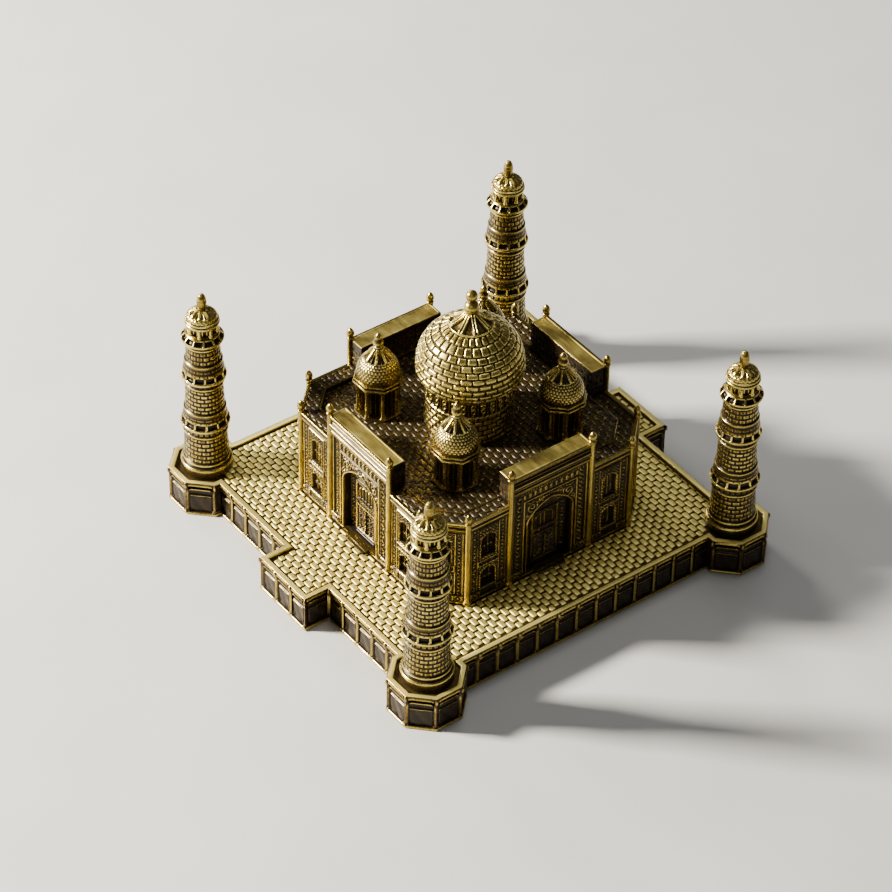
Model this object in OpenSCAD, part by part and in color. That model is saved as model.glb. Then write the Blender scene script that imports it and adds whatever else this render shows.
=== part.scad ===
// Miniature domed mausoleum: a square plinth with octagonal corner bastions, a chamfered
// hall with four portals, a central onion dome, four roof kiosks and four minarets.
// The castings are hollow and screwed together from below, and a tie rod clamps the middle.
// Front is -Y. The origin is on the table, under the middle of the dome, with Z up.

/* [Plinth] */
// Distance from each centre line to the minaret axes
minaret_offset = 50; // [49:0.5:54]
// Height of the deck above the table
deck_z = 10.5; // [9.5:0.5:13]
// Height of the smooth rim above the deck
rim_height = 0.5; // [0.3:0.1:0.8]
// Width of the smooth rim
rim_width = 1.5; // [1.2:0.1:2.4]
// Pitch of the posts between the wall panels
panel_pitch = 6.4; // [6:0.1:7]
// Distance from the middle to the plinth's wall
wall_half = 52.3; // [52:0.1:56]
// Distance from a bastion's middle to its flat sides
bastion_apothem = 9.7; // [9:0.1:10.5]

/* [Hall] */
// Distance from the middle to the hall's four main faces
hall_half = 35.3; // [34.5:0.1:36]
// Distance from the centre line to the ends of a main face
hall_corner = 26.5; // [26:0.1:27]
// Height of the hall's walls above the deck
hall_height = 27; // [25:0.5:29]
// Half the width of a portal
portal_half = 13.1; // [12.6:0.1:13.6]
// Height of a portal above the deck
portal_height = 35.2; // [33.5:0.1:37]
// Depth of a portal block and of the roof's raised border
portal_depth = 5; // [4.6:0.1:5.4]

/* [Dome] */
// Radius of the drum under the dome
drum_radius = 11.9; // [11.5:0.1:12.2]
// Height of the drum above the roof
drum_height = 14.7; // [13:0.1:16]
// Largest radius of the dome
dome_radius = 14.4; // [14:0.1:15]
// Height of the dome up to its crown
dome_height = 17; // [16.5:0.1:18]

/* [Kiosks and minarets] */
// Distance from each centre line to the middle of a roof kiosk
kiosk_offset = 17.1; // [16.9:0.1:17.5]
// Height of a kiosk's posts
kiosk_post_height = 9.4; // [9:0.1:9.8]
// Height of a minaret above the deck
minaret_height = 57.9; // [57.5:0.1:60]

/* [Hidden] */
$fn = 48;

BRASS = "#a8955a";
DARK_BRASS = "#4a3f2a";
STEEL = "#8c8f93";
FELT = "#23352b";
CORNERS = [[-1, -1], [1, -1], [-1, 1], [1, 1]];
EPS = 0.01;

// Plinth, cover and felt levels
rim_z = deck_z + rim_height;
foot_gap = 0.3;
felt_thick = 0.8;
cover_thick = 1;
cover_top = felt_thick + cover_thick;
cover_inset = 1.6;
wall_thick = 3.2;
deck_thick = 2.5;
deck_under = deck_z - deck_thick;
flange_height = 0.6;
flange_out = 0.2;
cover_boss_at = 33;
cover_boss_r = 3.4;

// Bays in the middle of the front and back walls
bay_half = 10.1;
bay_out = 7.45;
bay_y = wall_half + bay_out;

// Wall panels: each has a recess, a raised plaque below and a hood bar above
post_w = 1.1;
recess_d = 0.8;
plaque_set = 0.3;
plaque_gap = 0.35;
plaque_top = deck_z - 3.7;
hood_set = 0.35;
hood_z0 = deck_z - 2.1;
hood_z1 = deck_z - 1.5;
slot_top = deck_z - 0.7;
corbel_out = 0.4;
wall_end = minaret_offset - bastion_apothem;
bastion_side = 2 * bastion_apothem * tan(22.5);
// Posts between the panels of a side wall, on both sides of its middle
post_pairs = floor((wall_end - 2) / panel_pitch + 0.5);
wall_posts = [for (i = [-post_pairs : post_pairs - 1]) (i + 0.5) * panel_pitch];

// Fasteners
screw_clear_r = 1.6;
screw_r = 1.5;
pilot_r = 1.6;
small_screw_r = 1;
small_clear_r = 1.1;
hall_boss_at = 24;
hall_boss_r = 3.4;
hall_boss_h = 9;
portal_screw_x = 10.2;
rod_r = 2;
rod_clear_r = 2.2;
washer_r = 5;
washer_h = 0.8;
nut_h = 3.2;
nut_half_flat = 3.5;
hall_screw_length = 9.5;
portal_screw_length = 7.5;
kiosk_screw_length = 5.5;
minaret_screw_length = 10.5;
// Play between two pieces that plug together
fit_gap = 0.05;

// Hall and roof
hall_top = deck_z + hall_height;
border_drop = 1.2;
roof_thick = 1.5;
roof_z = hall_top - border_drop;
roof_under = roof_z - roof_thick;
lining = 2;
// The hall's chamfers run inwards by tan(22.5) of an inset at each end of a main face
chamfer_step = tan(22.5);
corner_post_r = 0.8;
corner_post_h = 27.3;
portal_post_r = 0.85;
course_h = 0.7;
course_out = 0.35;
wing_mid = (portal_half + hall_corner) / 2;
window_field_z = 1.4;
window_field_h = 22.8;
window_depth = 1.1;
lower_window_spring = 5.9;
upper_window_z = 13;
upper_window_spring = 7;
window_rise = 1.9;
chamfer_mid = (hall_half + hall_corner) / sqrt(2);

// Portal: a field between the posts, with the door frame standing in it round the niche
sill = 0.8;
dado_top = 2.6;
field_top = 29.2;
field_depth = 0.5;
field_margin = 1.3;
frame_half = 9.2;
frame_top = 26.8;
spandrel_half = 8.1;
spandrel_top = 25.6;
spandrel_depth = 0.35;
niche_spring = 17.3;
niche_rise = 5.9;
niche_half = 7.1;
niche_depth = 2.5;
door_half = 4.1;
door_height = 17;
door_rails = [10.3, 17.8];

// Dome
dome_z = roof_z + drum_height;
dome_wall = 1.8;
dome_waist = 3.3;
dome_swell = [0.61, 0.56, 0.78];
cap_swell = [0.44, 0.42, 0.72];
drum_wall = 2;
band_z = 9;
crown_z = dome_z + dome_height;
crown_r = 5.9;

// Kiosks
kiosk_apothem = 6.4;
kiosk_post_at = 5.45;
kiosk_post_r = 0.55;
kiosk_core = 4.5;
kiosk_step = 0.6;
kiosk_eave_z = kiosk_step + kiosk_post_height;
kiosk_dome_z = roof_z + kiosk_eave_z + 1.5;

// Minarets
lantern_z = 45.9;
lantern_r = 3.3;
cap_seat = 48.8;
cap_eave_r = 4.67;
cap_dome_r = 4.05;
cap_dome_z = 1.45;
bud_height = 5.2;
// Railing of each balcony: radius of its openings, their foot and their height
railings = [[6.35, 16.5, 1.5], [5.8, 32.1, 1.5], [5.3, 44.6, 0.9]];
railing_openings = 12;
kiosk_spigot_r = 1.55;
cap_spigot_r = 1.15;

// ---------------------------------------------------------------- helpers

// Point at parameter t on a cubic curve
function bezier(a, b, c, d, t) =
    a * pow(1 - t, 3) + 3 * b * t * pow(1 - t, 2) + 3 * c * pow(t, 2) * (1 - t) + d * pow(t, 3);

// Outline of an onion dome: foot radius r0, bulge rm at height zm, neck radius r1 at height h.
// swell says how far the shoulder stays out: the two handles of its curve, as shares of the way.
function onion(r0, rm, zm, r1, h, swell, steps = 9) = concat(
    [for (i = [0 : steps - 1])
        bezier([r0, 0], [r0 + 0.65 * (rm - r0), 0.3 * zm], [rm, 0.62 * zm], [rm, zm], i / steps)],
    [for (i = [0 : steps])
        bezier([rm, zm], [rm, zm + swell[0] * (h - zm)],
               [r1 + swell[1] * (rm - r1), zm + swell[2] * (h - zm)], [r1, h], i / steps)]
);

module spun(points) {
    rotate_extrude() polygon(points);
}

module solid_onion(r0, rm, zm, r1, h, swell) {
    spun(concat([[0, 0]], onion(r0, rm, zm, r1, h, swell), [[0, h]]));
}

// An octagonal slab with its flat sides square to the axes
module octagon(apothem, height) {
    rotate(22.5) cylinder(r = apothem / cos(22.5), h = height, $fn = 8);
}

module chamfered_square(half, corner) {
    polygon([[half, -corner], [half, corner], [corner, half], [-corner, half],
             [-half, corner], [-half, -corner], [-corner, -half], [corner, -half]]);
}

// The hall's plan, moved inwards by a distance
module hall_plan(inset) {
    chamfered_square(hall_half - inset, hall_corner - inset * chamfer_step);
}

// Height of a flat pointed arch, as a share of its rise, at u = -1 to 1 across the opening
function arch_curve(u) = 0.68 * sqrt(1 - u * u) + 0.32 * (1 - abs(u));

// Arched opening: half the width, height of the springing and rise of the arch, centred on X
module pointed_arch(half, spring, rise, steps = 8) {
    polygon(concat(
        [[-half, 0], [half, 0]],
        [for (i = [steps : -1 : -steps]) let (u = sin(90 * i / steps))
            [half * u, spring + rise * arch_curve(u)]]
    ));
}

// The same outline cut to a depth into a wall whose face is the XZ plane
module arched_recess(half, spring, rise, depth) {
    translate([0, -1, 0]) rotate([-90, 0, 0]) mirror([0, 1, 0])
        linear_extrude(1 + depth) pointed_arch(half, spring, rise);
}

// A pan-head screw with its head's seat at z = 0, pointing up
module screw(r, length) {
    head = 1.2 * r;
    color(STEEL) {
        translate([0, 0, -head]) cylinder(r = 1.85 * r, h = head);
        translate([0, 0, -EPS]) cylinder(r = r, h = length + EPS);
    }
}

module corner_place(c, at, z) {
    translate([c.x * at, c.y * at, z]) children();
}

// ---------------------------------------------------------------- plinth

module plinth_outline(inset) {
    square(2 * (wall_half - inset), center = true);
    for (c = CORNERS)
        translate([c.x, c.y] * minaret_offset)
            rotate(22.5) circle(r = (bastion_apothem - inset) / cos(22.5), $fn = 8);
    square([2 * (bay_half - inset), 2 * (bay_y - inset)], center = true);
}

// Calls its children on every wall panel, with the wall's face on the X axis and $w its width
module each_wall_panel() {
    edges = concat([-wall_end], wall_posts, [wall_end]);
    for (i = [0 : len(edges) - 2]) {
        mid = (edges[i] + edges[i + 1]) / 2;
        $w = edges[i + 1] - edges[i] - post_w;
        for (turn = [90, 270]) rotate(turn) translate([mid, -wall_half]) children();
        if (abs(mid) > bay_half + 1) {
            inner = min(abs(edges[i]), abs(edges[i + 1]));
            outer = max(abs(edges[i]), abs(edges[i + 1]));
            start = max(inner, bay_half + post_w / 2);
            $w = outer - start - post_w;
            for (turn = [0, 180])
                rotate(turn) translate([sign(mid) * (start + outer) / 2, -wall_half]) children();
        }
    }
    for (turn = [0, 180], i = [-1 : 1], $w = [2 * bay_half / 3 - post_w])
        rotate(turn) translate([i * 2 * bay_half / 3, -bay_y]) children();
    for (turn = [0, 180], side = [-90, 90], $w = [bay_out - 2 * post_w])
        rotate(turn) translate([0, -wall_half - bay_out / 2]) rotate(side)
            translate([0, -bay_half]) children();
    for (c = CORNERS, face = [-90, -45, 0, 45, 90], $w = [bastion_side - 2 * post_w])
        translate([c.x, c.y] * minaret_offset) rotate(atan2(c.y, c.x) + 90 + face)
            translate([0, -bastion_apothem]) children();
}

module panel_slot(depth) {
    translate([-$w / 2, -1]) square([$w, 1 + depth]);
}

module plaque_groove() {
    difference() {
        panel_slot(recess_d);
        translate([-$w / 2 + plaque_gap, plaque_set]) square([$w - 2 * plaque_gap, 2]);
    }
}

module wall_layer(z0, z1) {
    translate([0, 0, z0]) linear_extrude(z1 - z0) difference() {
        plinth_outline(0);
        children();
    }
}

// Small corbels that carry the rim at each post between two panels
module corbels() {
    for (turn = [0 : 90 : 270], x = wall_posts)
        if (turn % 180 == 90 || abs(x) > bay_half + 1)
            rotate(turn) translate([x, -wall_half]) corbel();
    for (turn = [0, 180], x = [-bay_half, -bay_half / 3, bay_half / 3, bay_half])
        rotate(turn) translate([x * (1 - 0.5 * post_w / bay_half), -bay_y]) corbel();
    for (c = CORNERS, face = [-90, -45, 0, 45, 90], s = [-1, 1])
        translate([c.x, c.y] * minaret_offset) rotate(atan2(c.y, c.x) + 90 + face)
            translate([s * (bastion_side - post_w) / 2, -bastion_apothem]) corbel();
}

module corbel() {
    translate([-post_w / 2, -corbel_out]) square([post_w, corbel_out + 0.5]);
}

module plinth_walls() {
    translate([0, 0, foot_gap]) linear_extrude(flange_height) plinth_outline(-flange_out);
    wall_layer(foot_gap + flange_height, plaque_top) each_wall_panel() plaque_groove();
    wall_layer(plaque_top, hood_z0) each_wall_panel() panel_slot(recess_d);
    wall_layer(hood_z0, hood_z1) each_wall_panel() panel_slot(hood_set);
    wall_layer(hood_z1, slot_top) each_wall_panel() panel_slot(recess_d);
    wall_layer(slot_top, rim_z);
    translate([0, 0, slot_top]) linear_extrude(rim_z - 0.3 - slot_top) corbels();
}

module deck_holes() {
    for (c = CORNERS) {
        corner_place(c, minaret_offset, 0) cylinder(r = screw_clear_r, h = rim_z);
        corner_place(c, hall_boss_at, 0) cylinder(r = screw_clear_r, h = rim_z);
    }
    for (turn = [0 : 90 : 270], s = [-1, 1])
        rotate(turn) translate([s * portal_screw_x, -hall_half + portal_depth / 2])
            cylinder(r = small_clear_r, h = rim_z);
    cylinder(r = rod_clear_r, h = rim_z);
}

module plinth() {
    color(BRASS) difference() {
        union() {
            difference() {
                plinth_walls();
                translate([0, 0, deck_z]) linear_extrude(rim_height + 1) plinth_outline(rim_width);
                translate([0, 0, -1]) linear_extrude(deck_under + 1) plinth_outline(wall_thick);
                translate([0, 0, -1]) linear_extrude(cover_top + 1) plinth_outline(cover_inset);
            }
            for (c = CORNERS) corner_place(c, cover_boss_at, cover_top)
                cylinder(r = cover_boss_r, h = deck_under - cover_top + EPS);
        }
        deck_holes();
        for (c = CORNERS) corner_place(c, cover_boss_at, 0) cylinder(r = pilot_r, h = deck_under);
    }
}

module base_cover() {
    color(STEEL) translate([0, 0, felt_thick]) difference() {
        linear_extrude(cover_thick) plinth_outline(cover_inset + 0.15);
        for (c = CORNERS) corner_place(c, cover_boss_at, -EPS) cylinder(r = screw_clear_r, h = 2);
    }
}

// Felt pad under the cover, cut away round the screw heads
module base_felt() {
    color(FELT) difference() {
        linear_extrude(felt_thick) plinth_outline(cover_inset + 0.6);
        for (c = CORNERS) corner_place(c, cover_boss_at, -EPS) cylinder(r = 3.2, h = 2);
    }
}

module cover_screws() {
    color(STEEL) for (c = CORNERS) corner_place(c, cover_boss_at, 0) {
        translate([0, 0, 0.1]) cylinder(r = 2.7, h = felt_thick - 0.1);
        translate([0, 0, felt_thick - EPS]) cylinder(r = screw_r, h = 6);
    }
}

// ---------------------------------------------------------------- hall

// A two-storey window bay: a shallow field with one arched window above another
module window_bay(field_half, window_half) {
    translate([-field_half, -1, window_field_z])
        cube([2 * field_half, 1 + spandrel_depth, window_field_h]);
    translate([0, 0, dado_top])
        arched_recess(window_half, lower_window_spring, window_rise, window_depth);
    translate([0, 0, upper_window_z])
        arched_recess(window_half, upper_window_spring, window_rise, window_depth);
}

module each_main_face() {
    for (turn = [0 : 90 : 270]) rotate(turn) translate([0, -hall_half, 0]) children();
}

module corner_post(r, height) {
    cylinder(r = r, h = height);
    translate([0, 0, height]) cylinder(r = 1.15 * r, h = 0.5);
    translate([0, 0, height + 0.5]) spun([[0, 0], [0.9 * r, 0], [1.2 * r, 0.7], [1.15 * r, 1.4],
                                         [0.8 * r, 2.3], [0.3 * r, 2.9], [0, 3]]);
}

module hall_walls() {
    linear_extrude(hall_height) difference() {
        hall_plan(0);
        hall_plan(portal_depth + lining);
    }
    // String course at the foot and cornice at the top of the wings and chamfers
    for (z = [0, hall_height - 3 * course_h, hall_height - course_h])
        translate([0, 0, z]) linear_extrude(course_h) difference() {
            hall_plan(-course_out);
            hall_plan(1);
        }
    for (c = CORNERS) corner_place(c, hall_boss_at, 0) cylinder(r = hall_boss_r, h = hall_boss_h);
    for (c = CORNERS) {
        translate([c.x * hall_half, c.y * hall_corner, 0]) corner_post(corner_post_r, corner_post_h);
        translate([c.x * hall_corner, c.y * hall_half, 0]) corner_post(corner_post_r, corner_post_h);
    }
}

module hall_body() {
    color(DARK_BRASS) translate([0, 0, deck_z]) difference() {
        hall_walls();
        translate([0, 0, roof_under - deck_z]) linear_extrude(20) hall_plan(portal_depth);
        each_main_face() {
            translate([-portal_half, -2, -1]) cube([2 * portal_half, portal_depth + 2, 40]);
            for (s = [-1, 1]) {
                translate([s * portal_half, 0, -1]) cylinder(r = portal_post_r + fit_gap, h = 40);
                translate([s * wing_mid, 0, 0]) window_bay(4.9, 3);
            }
        }
        for (c = CORNERS) rotate(atan2(c.y, c.x) + 90)
            translate([0, -chamfer_mid, 0]) window_bay(4.6, 2.8);
        for (c = CORNERS) corner_place(c, hall_boss_at, -1) cylinder(r = pilot_r, h = hall_boss_h);
    }
}

module roof_plate() {
    color(DARK_BRASS) translate([0, 0, roof_under]) difference() {
        linear_extrude(roof_thick) hall_plan(portal_depth + fit_gap);
        translate([0, 0, -1]) cylinder(r = rod_clear_r, h = 5);
        for (c = CORNERS) corner_place(c, kiosk_offset, -1) cylinder(r = screw_clear_r, h = 5);
    }
}

// A portal block, its front face on the XZ plane and its back at y = portal_depth
module portal_block() {
    difference() {
        translate([-portal_half, 0, 0]) cube([2 * portal_half, portal_depth, portal_height]);
        difference() {
            translate([field_margin - portal_half, -1, dado_top])
                cube([2 * (portal_half - field_margin), 1 + field_depth, field_top - dado_top]);
            translate([-frame_half, -2, 0]) cube([2 * frame_half, 4, frame_top]);
        }
        translate([-portal_half, -1, portal_height - 2.1])
            cube([2 * portal_half, 1 + field_depth, 1.2]);
        translate([-spandrel_half, -1, sill])
            cube([2 * spandrel_half, 1 + spandrel_depth, spandrel_top - sill]);
        translate([0, 0, sill])
            arched_recess(niche_half, niche_spring - sill, niche_rise, niche_depth);
        for (s = [-1, 1]) translate([s * portal_screw_x, portal_depth / 2, -1])
            cylinder(r = small_clear_r, h = 7);
    }
    portal_trim();
    doorway();
}

// Mouldings across the head of the portal, its slab, its corner posts and its two steps.
// Each bar has the height of its foot, its own height and how far it stands out.
module portal_trim() {
    for (bar = [[portal_height - 0.9, 0.9, 0.5], [portal_height - 4.1, 1.4, 0.6],
                [portal_height - 5.8, 0.9, 0.4]])
        translate([-portal_half, -bar[2], bar[0]]) cube([2 * portal_half, bar[2] + 0.6, bar[1]]);
    for (s = [-1, 1]) translate([s * portal_half, 0, 0])
        corner_post(portal_post_r, portal_height + 0.2);
    translate([-portal_half, -0.35, 0]) cube([2 * portal_half, 1, 0.7]);
    translate([-4.6, -1.2, 0]) cube([9.2, 2, 0.8]);
    translate([-4.2, -2.1, 0]) cube([8.4, 2, 0.4]);
}

// Two-storey door and window frame at the back of the niche
module doorway() {
    back = niche_depth - 0.5;
    for (s = [-1, 1]) translate([s * door_half - 0.5, back, sill]) cube([1, 1, door_height]);
    for (z = door_rails)
        translate([-door_half - 0.5, back, z]) cube([2 * door_half + 1, 1, 1.1]);
    for (x = [-1.2, 1.2]) translate([x - 0.25, back + 0.2, sill]) cube([0.5, 1, door_height]);
}

module portal(turn) {
    color(DARK_BRASS) rotate(turn) translate([0, -hall_half, deck_z]) portal_block();
}

module hall_screws() {
    for (c = CORNERS) corner_place(c, hall_boss_at, deck_under) screw(screw_r, hall_screw_length);
}

module portal_screws() {
    for (turn = [0 : 90 : 270], s = [-1, 1])
        rotate(turn) translate([s * portal_screw_x, -hall_half + portal_depth / 2, deck_under])
            screw(small_screw_r, portal_screw_length);
}

// ---------------------------------------------------------------- dome

module drum() {
    color(BRASS) translate([0, 0, roof_z]) spun([
        [drum_radius - drum_wall, 0], [drum_radius, 0], [drum_radius, band_z - 0.1],
        [drum_radius + 0.1, band_z], [drum_radius + 0.1, band_z + 0.4],
        [drum_radius - 0.3, band_z + 0.6],
        [drum_radius - 0.3, drum_height - 0.7], [drum_radius + 0.1, drum_height - 0.4],
        [drum_radius + 0.1, drum_height],
        [drum_radius - drum_wall, drum_height]
    ]);
}

module dome() {
    color(BRASS) translate([0, 0, dome_z]) difference() {
        solid_onion(drum_radius + 0.1, dome_radius, dome_waist, crown_r - 0.1, dome_height,
                    dome_swell);
        translate([0, 0, -EPS])
            solid_onion(drum_radius - drum_wall, dome_radius - dome_wall, dome_waist,
                        crown_r - dome_wall, dome_height - dome_wall, dome_swell);
        cylinder(r = rod_clear_r, h = dome_height + 1);
    }
}

// Ribbed crown with the spike and its two balls; the crown also serves as the tie rod's nut
module dome_finial() {
    color(BRASS) translate([0, 0, crown_z]) difference() {
        union() {
            spun([[0, 0], [crown_r, 0], [crown_r, 0.4], [crown_r - 0.5, 0.5], [4.3, 1.2], [3.1, 2],
                  [2.2, 2.7], [1.5, 3.5], [1.3, 4.2], [0, 4.2]]);
            for (i = [0 : 7]) rotate(22.5 + 45 * i) crown_rib();
            cylinder(r = 0.75, h = 9.6);
            translate([0, 0, 5.5]) sphere(r = 2);
            translate([0, 0, 9.1]) sphere(r = 1.6);
            translate([0, 0, 10.3]) cylinder(r1 = 0.8, r2 = 0.15, h = 0.6, $fn = 32);
        }
        translate([0, 0, -1]) cylinder(r = rod_r + fit_gap, h = 2.4);
    }
}

module crown_rib() {
    rotate([90, 0, 0]) linear_extrude(0.7, center = true)
        polygon([[0, 0.3], [crown_r + 0.1, 0.3], [crown_r - 0.3, 1], [4.4, 1.8], [3.2, 2.6],
                 [2.3, 3.3], [1.6, 4.1], [0, 4.2]]);
}

module tie_rod() {
    foot_z = deck_under - washer_h - nut_h - 0.5;
    color(STEEL) translate([0, 0, foot_z]) cylinder(r = rod_r, h = crown_z + 1.2 - foot_z);
}

module tie_washer() {
    color(STEEL) translate([0, 0, deck_under - washer_h]) difference() {
        cylinder(r = washer_r, h = washer_h);
        translate([0, 0, -1]) cylinder(r = rod_clear_r, h = 3);
    }
}

module tie_nut() {
    color(STEEL) translate([0, 0, deck_under - washer_h - nut_h]) difference() {
        cylinder(r = nut_half_flat / cos(30), h = nut_h, $fn = 6);
        translate([0, 0, -1]) cylinder(r = rod_r + 0.02, h = 6);
    }
}

// ---------------------------------------------------------------- kiosks

module kiosk() {
    color(DARK_BRASS) difference() {
        union() {
            octagon(kiosk_apothem - 0.4, kiosk_step);
            octagon(kiosk_core, kiosk_eave_z);
            for (i = [0 : 7]) rotate(22.5 + 45 * i) translate([kiosk_post_at, 0, 0])
                cylinder(r = kiosk_post_r, h = kiosk_eave_z);
            translate([0, 0, kiosk_eave_z]) octagon(kiosk_apothem, 0.6);
            translate([0, 0, kiosk_eave_z + 0.6]) octagon(kiosk_apothem - 0.5, 0.3);
            translate([0, 0, kiosk_eave_z + 0.9]) octagon(kiosk_apothem - 0.3, 0.6);
        }
        // A pointed niche in each side of the core
        for (i = [0 : 7]) rotate(45 * i) translate([0, -kiosk_core, kiosk_step])
            arched_recess(1.2, 4.6, 1.2, 0.8);
        translate([0, 0, -1]) cylinder(r = pilot_r, h = 6);
        translate([0, 0, kiosk_eave_z - 1.5]) cylinder(r = kiosk_spigot_r + fit_gap, h = 5);
    }
}

// Onion dome of a kiosk, with a spigot that fits the kiosk's head
module kiosk_dome() {
    color(BRASS) {
        translate([0, 0, -2.5]) cylinder(r = kiosk_spigot_r, h = 3);
        solid_onion(5.4, 5.76, 1.6, 1, 9.1, cap_swell);
        for (i = [0 : 7]) rotate(45 * i) rotate([90, 0, 0]) linear_extrude(0.6, center = true)
            polygon([[0, 9.8], [0.9, 9.6], [1.4, 8.4], [2.6, 6.9], [3.6, 5.4], [0, 5.4]]);
        translate([0, 0, 8]) cylinder(r = 0.6, h = 5);
        translate([0, 0, 10.5]) sphere(r = 1.45);
        translate([0, 0, 12.3]) sphere(r = 1.05);
        translate([0, 0, 13]) cylinder(r1 = 0.7, r2 = 0.15, h = 0.8, $fn = 32);
    }
}

module kiosk_screws() {
    for (c = CORNERS) corner_place(c, kiosk_offset, roof_under) screw(screw_r, kiosk_screw_length);
}

// ---------------------------------------------------------------- minarets

// Turned outline of a minaret, from the deck to the floor of its lantern
module minaret_profile() {
    spun([
        [0, 0], [7, 0], [7, 2.5], [6.6, 2.9], [6.2, 3], [6.2, 3.4], [6.4, 3.6], [6.4, 4.2],
        [6.1, 4.5], [5.8, 12.9], [6.15, 13], [6.15, 13.5], [5.85, 13.7], [5.95, 15.2],
        [6.45, 15.3], [6.67, 15.6], [6.67, 16.1], [6.45, 16.4], [5.65, 19.8], [5.7, 20],
        [5.7, 20.9], [5.4, 21.1], [5.05, 28.9], [5.4, 29], [5.4, 29.5], [5.1, 29.7],
        [5.3, 30.8], [5.9, 30.9], [6.1, 31.2], [6.1, 31.7], [5.9, 32], [5.1, 36], [5.15, 36.2],
        [5.15, 37], [4.85, 37.2], [4.55, 41.8], [4.85, 41.9], [4.85, 42.4], [4.6, 42.6],
        [4.9, 43.3], [5.5, 43.4], [5.72, 43.7], [5.72, 44.2], [5.5, 44.5], [4.4, 46], [0, 46]
    ]);
}

// A ring of railing openings round a balcony
module railing_cuts(radius, z, height) {
    for (i = [0 : railing_openings - 1]) rotate(360 / railing_openings * i)
        translate([radius - 0.55, -0.95, z]) cube([3, 1.9, height]);
}

module minaret() {
    color(BRASS) difference() {
        union() {
            minaret_profile();
            translate([0, 0, lantern_z]) cylinder(r = lantern_r, h = cap_seat - lantern_z);
            for (i = [0 : 7]) rotate(45 * i) translate([lantern_r + 0.45, 0, lantern_z])
                cylinder(r = 0.5, h = cap_seat - lantern_z);
        }
        for (r = railings) railing_cuts(r[0], r[1], r[2]);
        translate([0, 0, -1]) cylinder(r = pilot_r, h = 10);
        translate([0, 0, cap_seat - 2]) cylinder(r = cap_spigot_r + fit_gap, h = 4);
    }
}

// Ribbed cupola and bud finial that close a minaret, with a spigot below
module minaret_cap() {
    bud_z = minaret_height - cap_seat - bud_height;
    color(BRASS) {
        translate([0, 0, -1.9]) cylinder(r = cap_spigot_r, h = 2.2);
        cylinder(r = cap_eave_r, h = 0.6);
        translate([0, 0, 0.6]) cylinder(r = cap_eave_r - 0.37, h = 0.35);
        translate([0, 0, 0.95]) cylinder(r = cap_eave_r - 0.17, h = 0.5);
        translate([0, 0, cap_dome_z]) solid_onion(cap_dome_r, cap_dome_r + 0.05, 0.5, 1.1,
                                                  bud_z + 0.15 - cap_dome_z, cap_swell);
        for (i = [0 : 7]) rotate(45 * i) rotate([90, 0, 0]) linear_extrude(0.5, center = true)
            polygon([[0, 4.2], [1, 4.15], [2.1, 3.8], [3.1, 3.3], [3.6, 2.8], [0, 2.8]]);
        translate([0, 0, bud_z]) spun([[0, 0], [0.85, 0], [1.1, 0.5], [1.3, 1.6], [1.35, 2.6],
                                      [1.2, 3.9], [0.8, 4.8], [0.3, 5.15], [0, bud_height]]);
    }
}

module minaret_screws() {
    for (c = CORNERS)
        corner_place(c, minaret_offset, deck_under) screw(screw_r, minaret_screw_length);
}

// ---------------------------------------------------------------- assembly

plinth();
base_cover();
base_felt();
cover_screws();
hall_body();
hall_screws();
portal_screws();
roof_plate();
portal(0);  // portal_front
portal(90);  // portal_right
portal(180);  // portal_back
portal(270);  // portal_left
drum();
dome();
dome_finial();
tie_rod();
tie_washer();
tie_nut();
for (i = [0 : 3]) {
    place = ["front_left", "front_right", "back_left", "back_right"][i];
    c = CORNERS[i];
    corner_place(c, kiosk_offset, roof_z) kiosk();
    corner_place(c, kiosk_offset, kiosk_dome_z) kiosk_dome();
    corner_place(c, minaret_offset, deck_z) minaret();
    corner_place(c, minaret_offset, deck_z + cap_seat) minaret_cap();
}
kiosk_screws();
minaret_screws();
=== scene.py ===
"""Looks of the miniature mausoleum, built round its CAD frame.

Shapes are worked out in millimetres and stored in metres. Every point carries a "wear" value
that the metals read: 1 where handling rubs the brass bright, -1 where patina stays.
"""
import math

import bpy
import numpy as np
from mathutils import Matrix, Vector


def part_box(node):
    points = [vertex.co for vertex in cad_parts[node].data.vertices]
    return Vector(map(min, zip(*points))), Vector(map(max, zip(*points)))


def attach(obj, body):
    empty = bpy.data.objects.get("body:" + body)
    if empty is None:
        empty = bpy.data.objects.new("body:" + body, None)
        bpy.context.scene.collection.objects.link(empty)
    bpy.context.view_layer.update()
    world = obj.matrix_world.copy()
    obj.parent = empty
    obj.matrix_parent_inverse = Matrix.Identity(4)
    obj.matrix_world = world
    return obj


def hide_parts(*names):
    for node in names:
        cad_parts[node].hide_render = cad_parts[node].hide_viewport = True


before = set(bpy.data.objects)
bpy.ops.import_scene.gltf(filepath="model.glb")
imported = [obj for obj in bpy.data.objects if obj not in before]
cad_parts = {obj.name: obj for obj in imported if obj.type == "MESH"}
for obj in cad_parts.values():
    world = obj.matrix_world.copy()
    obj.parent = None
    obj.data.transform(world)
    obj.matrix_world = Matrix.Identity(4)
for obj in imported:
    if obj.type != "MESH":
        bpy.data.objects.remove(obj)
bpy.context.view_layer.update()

MM = 0.001
RNG = np.random.default_rng(1653)
CORNERS = {"front_left": (-1, -1), "front_right": (1, -1), "back_left": (-1, 1), "back_right": (1, 1)}
SIDES = {"front": 0, "right": 90, "back": 180, "left": 270}
QUARTERS = (0, 90, 180, 270)


def span(node):
    """Lowest and highest corner of a CAD node, in mm."""
    low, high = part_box(node)
    return np.array(low) / MM, np.array(high) / MM


# ---------------------------------------------------------------- sizes, in mm

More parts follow.
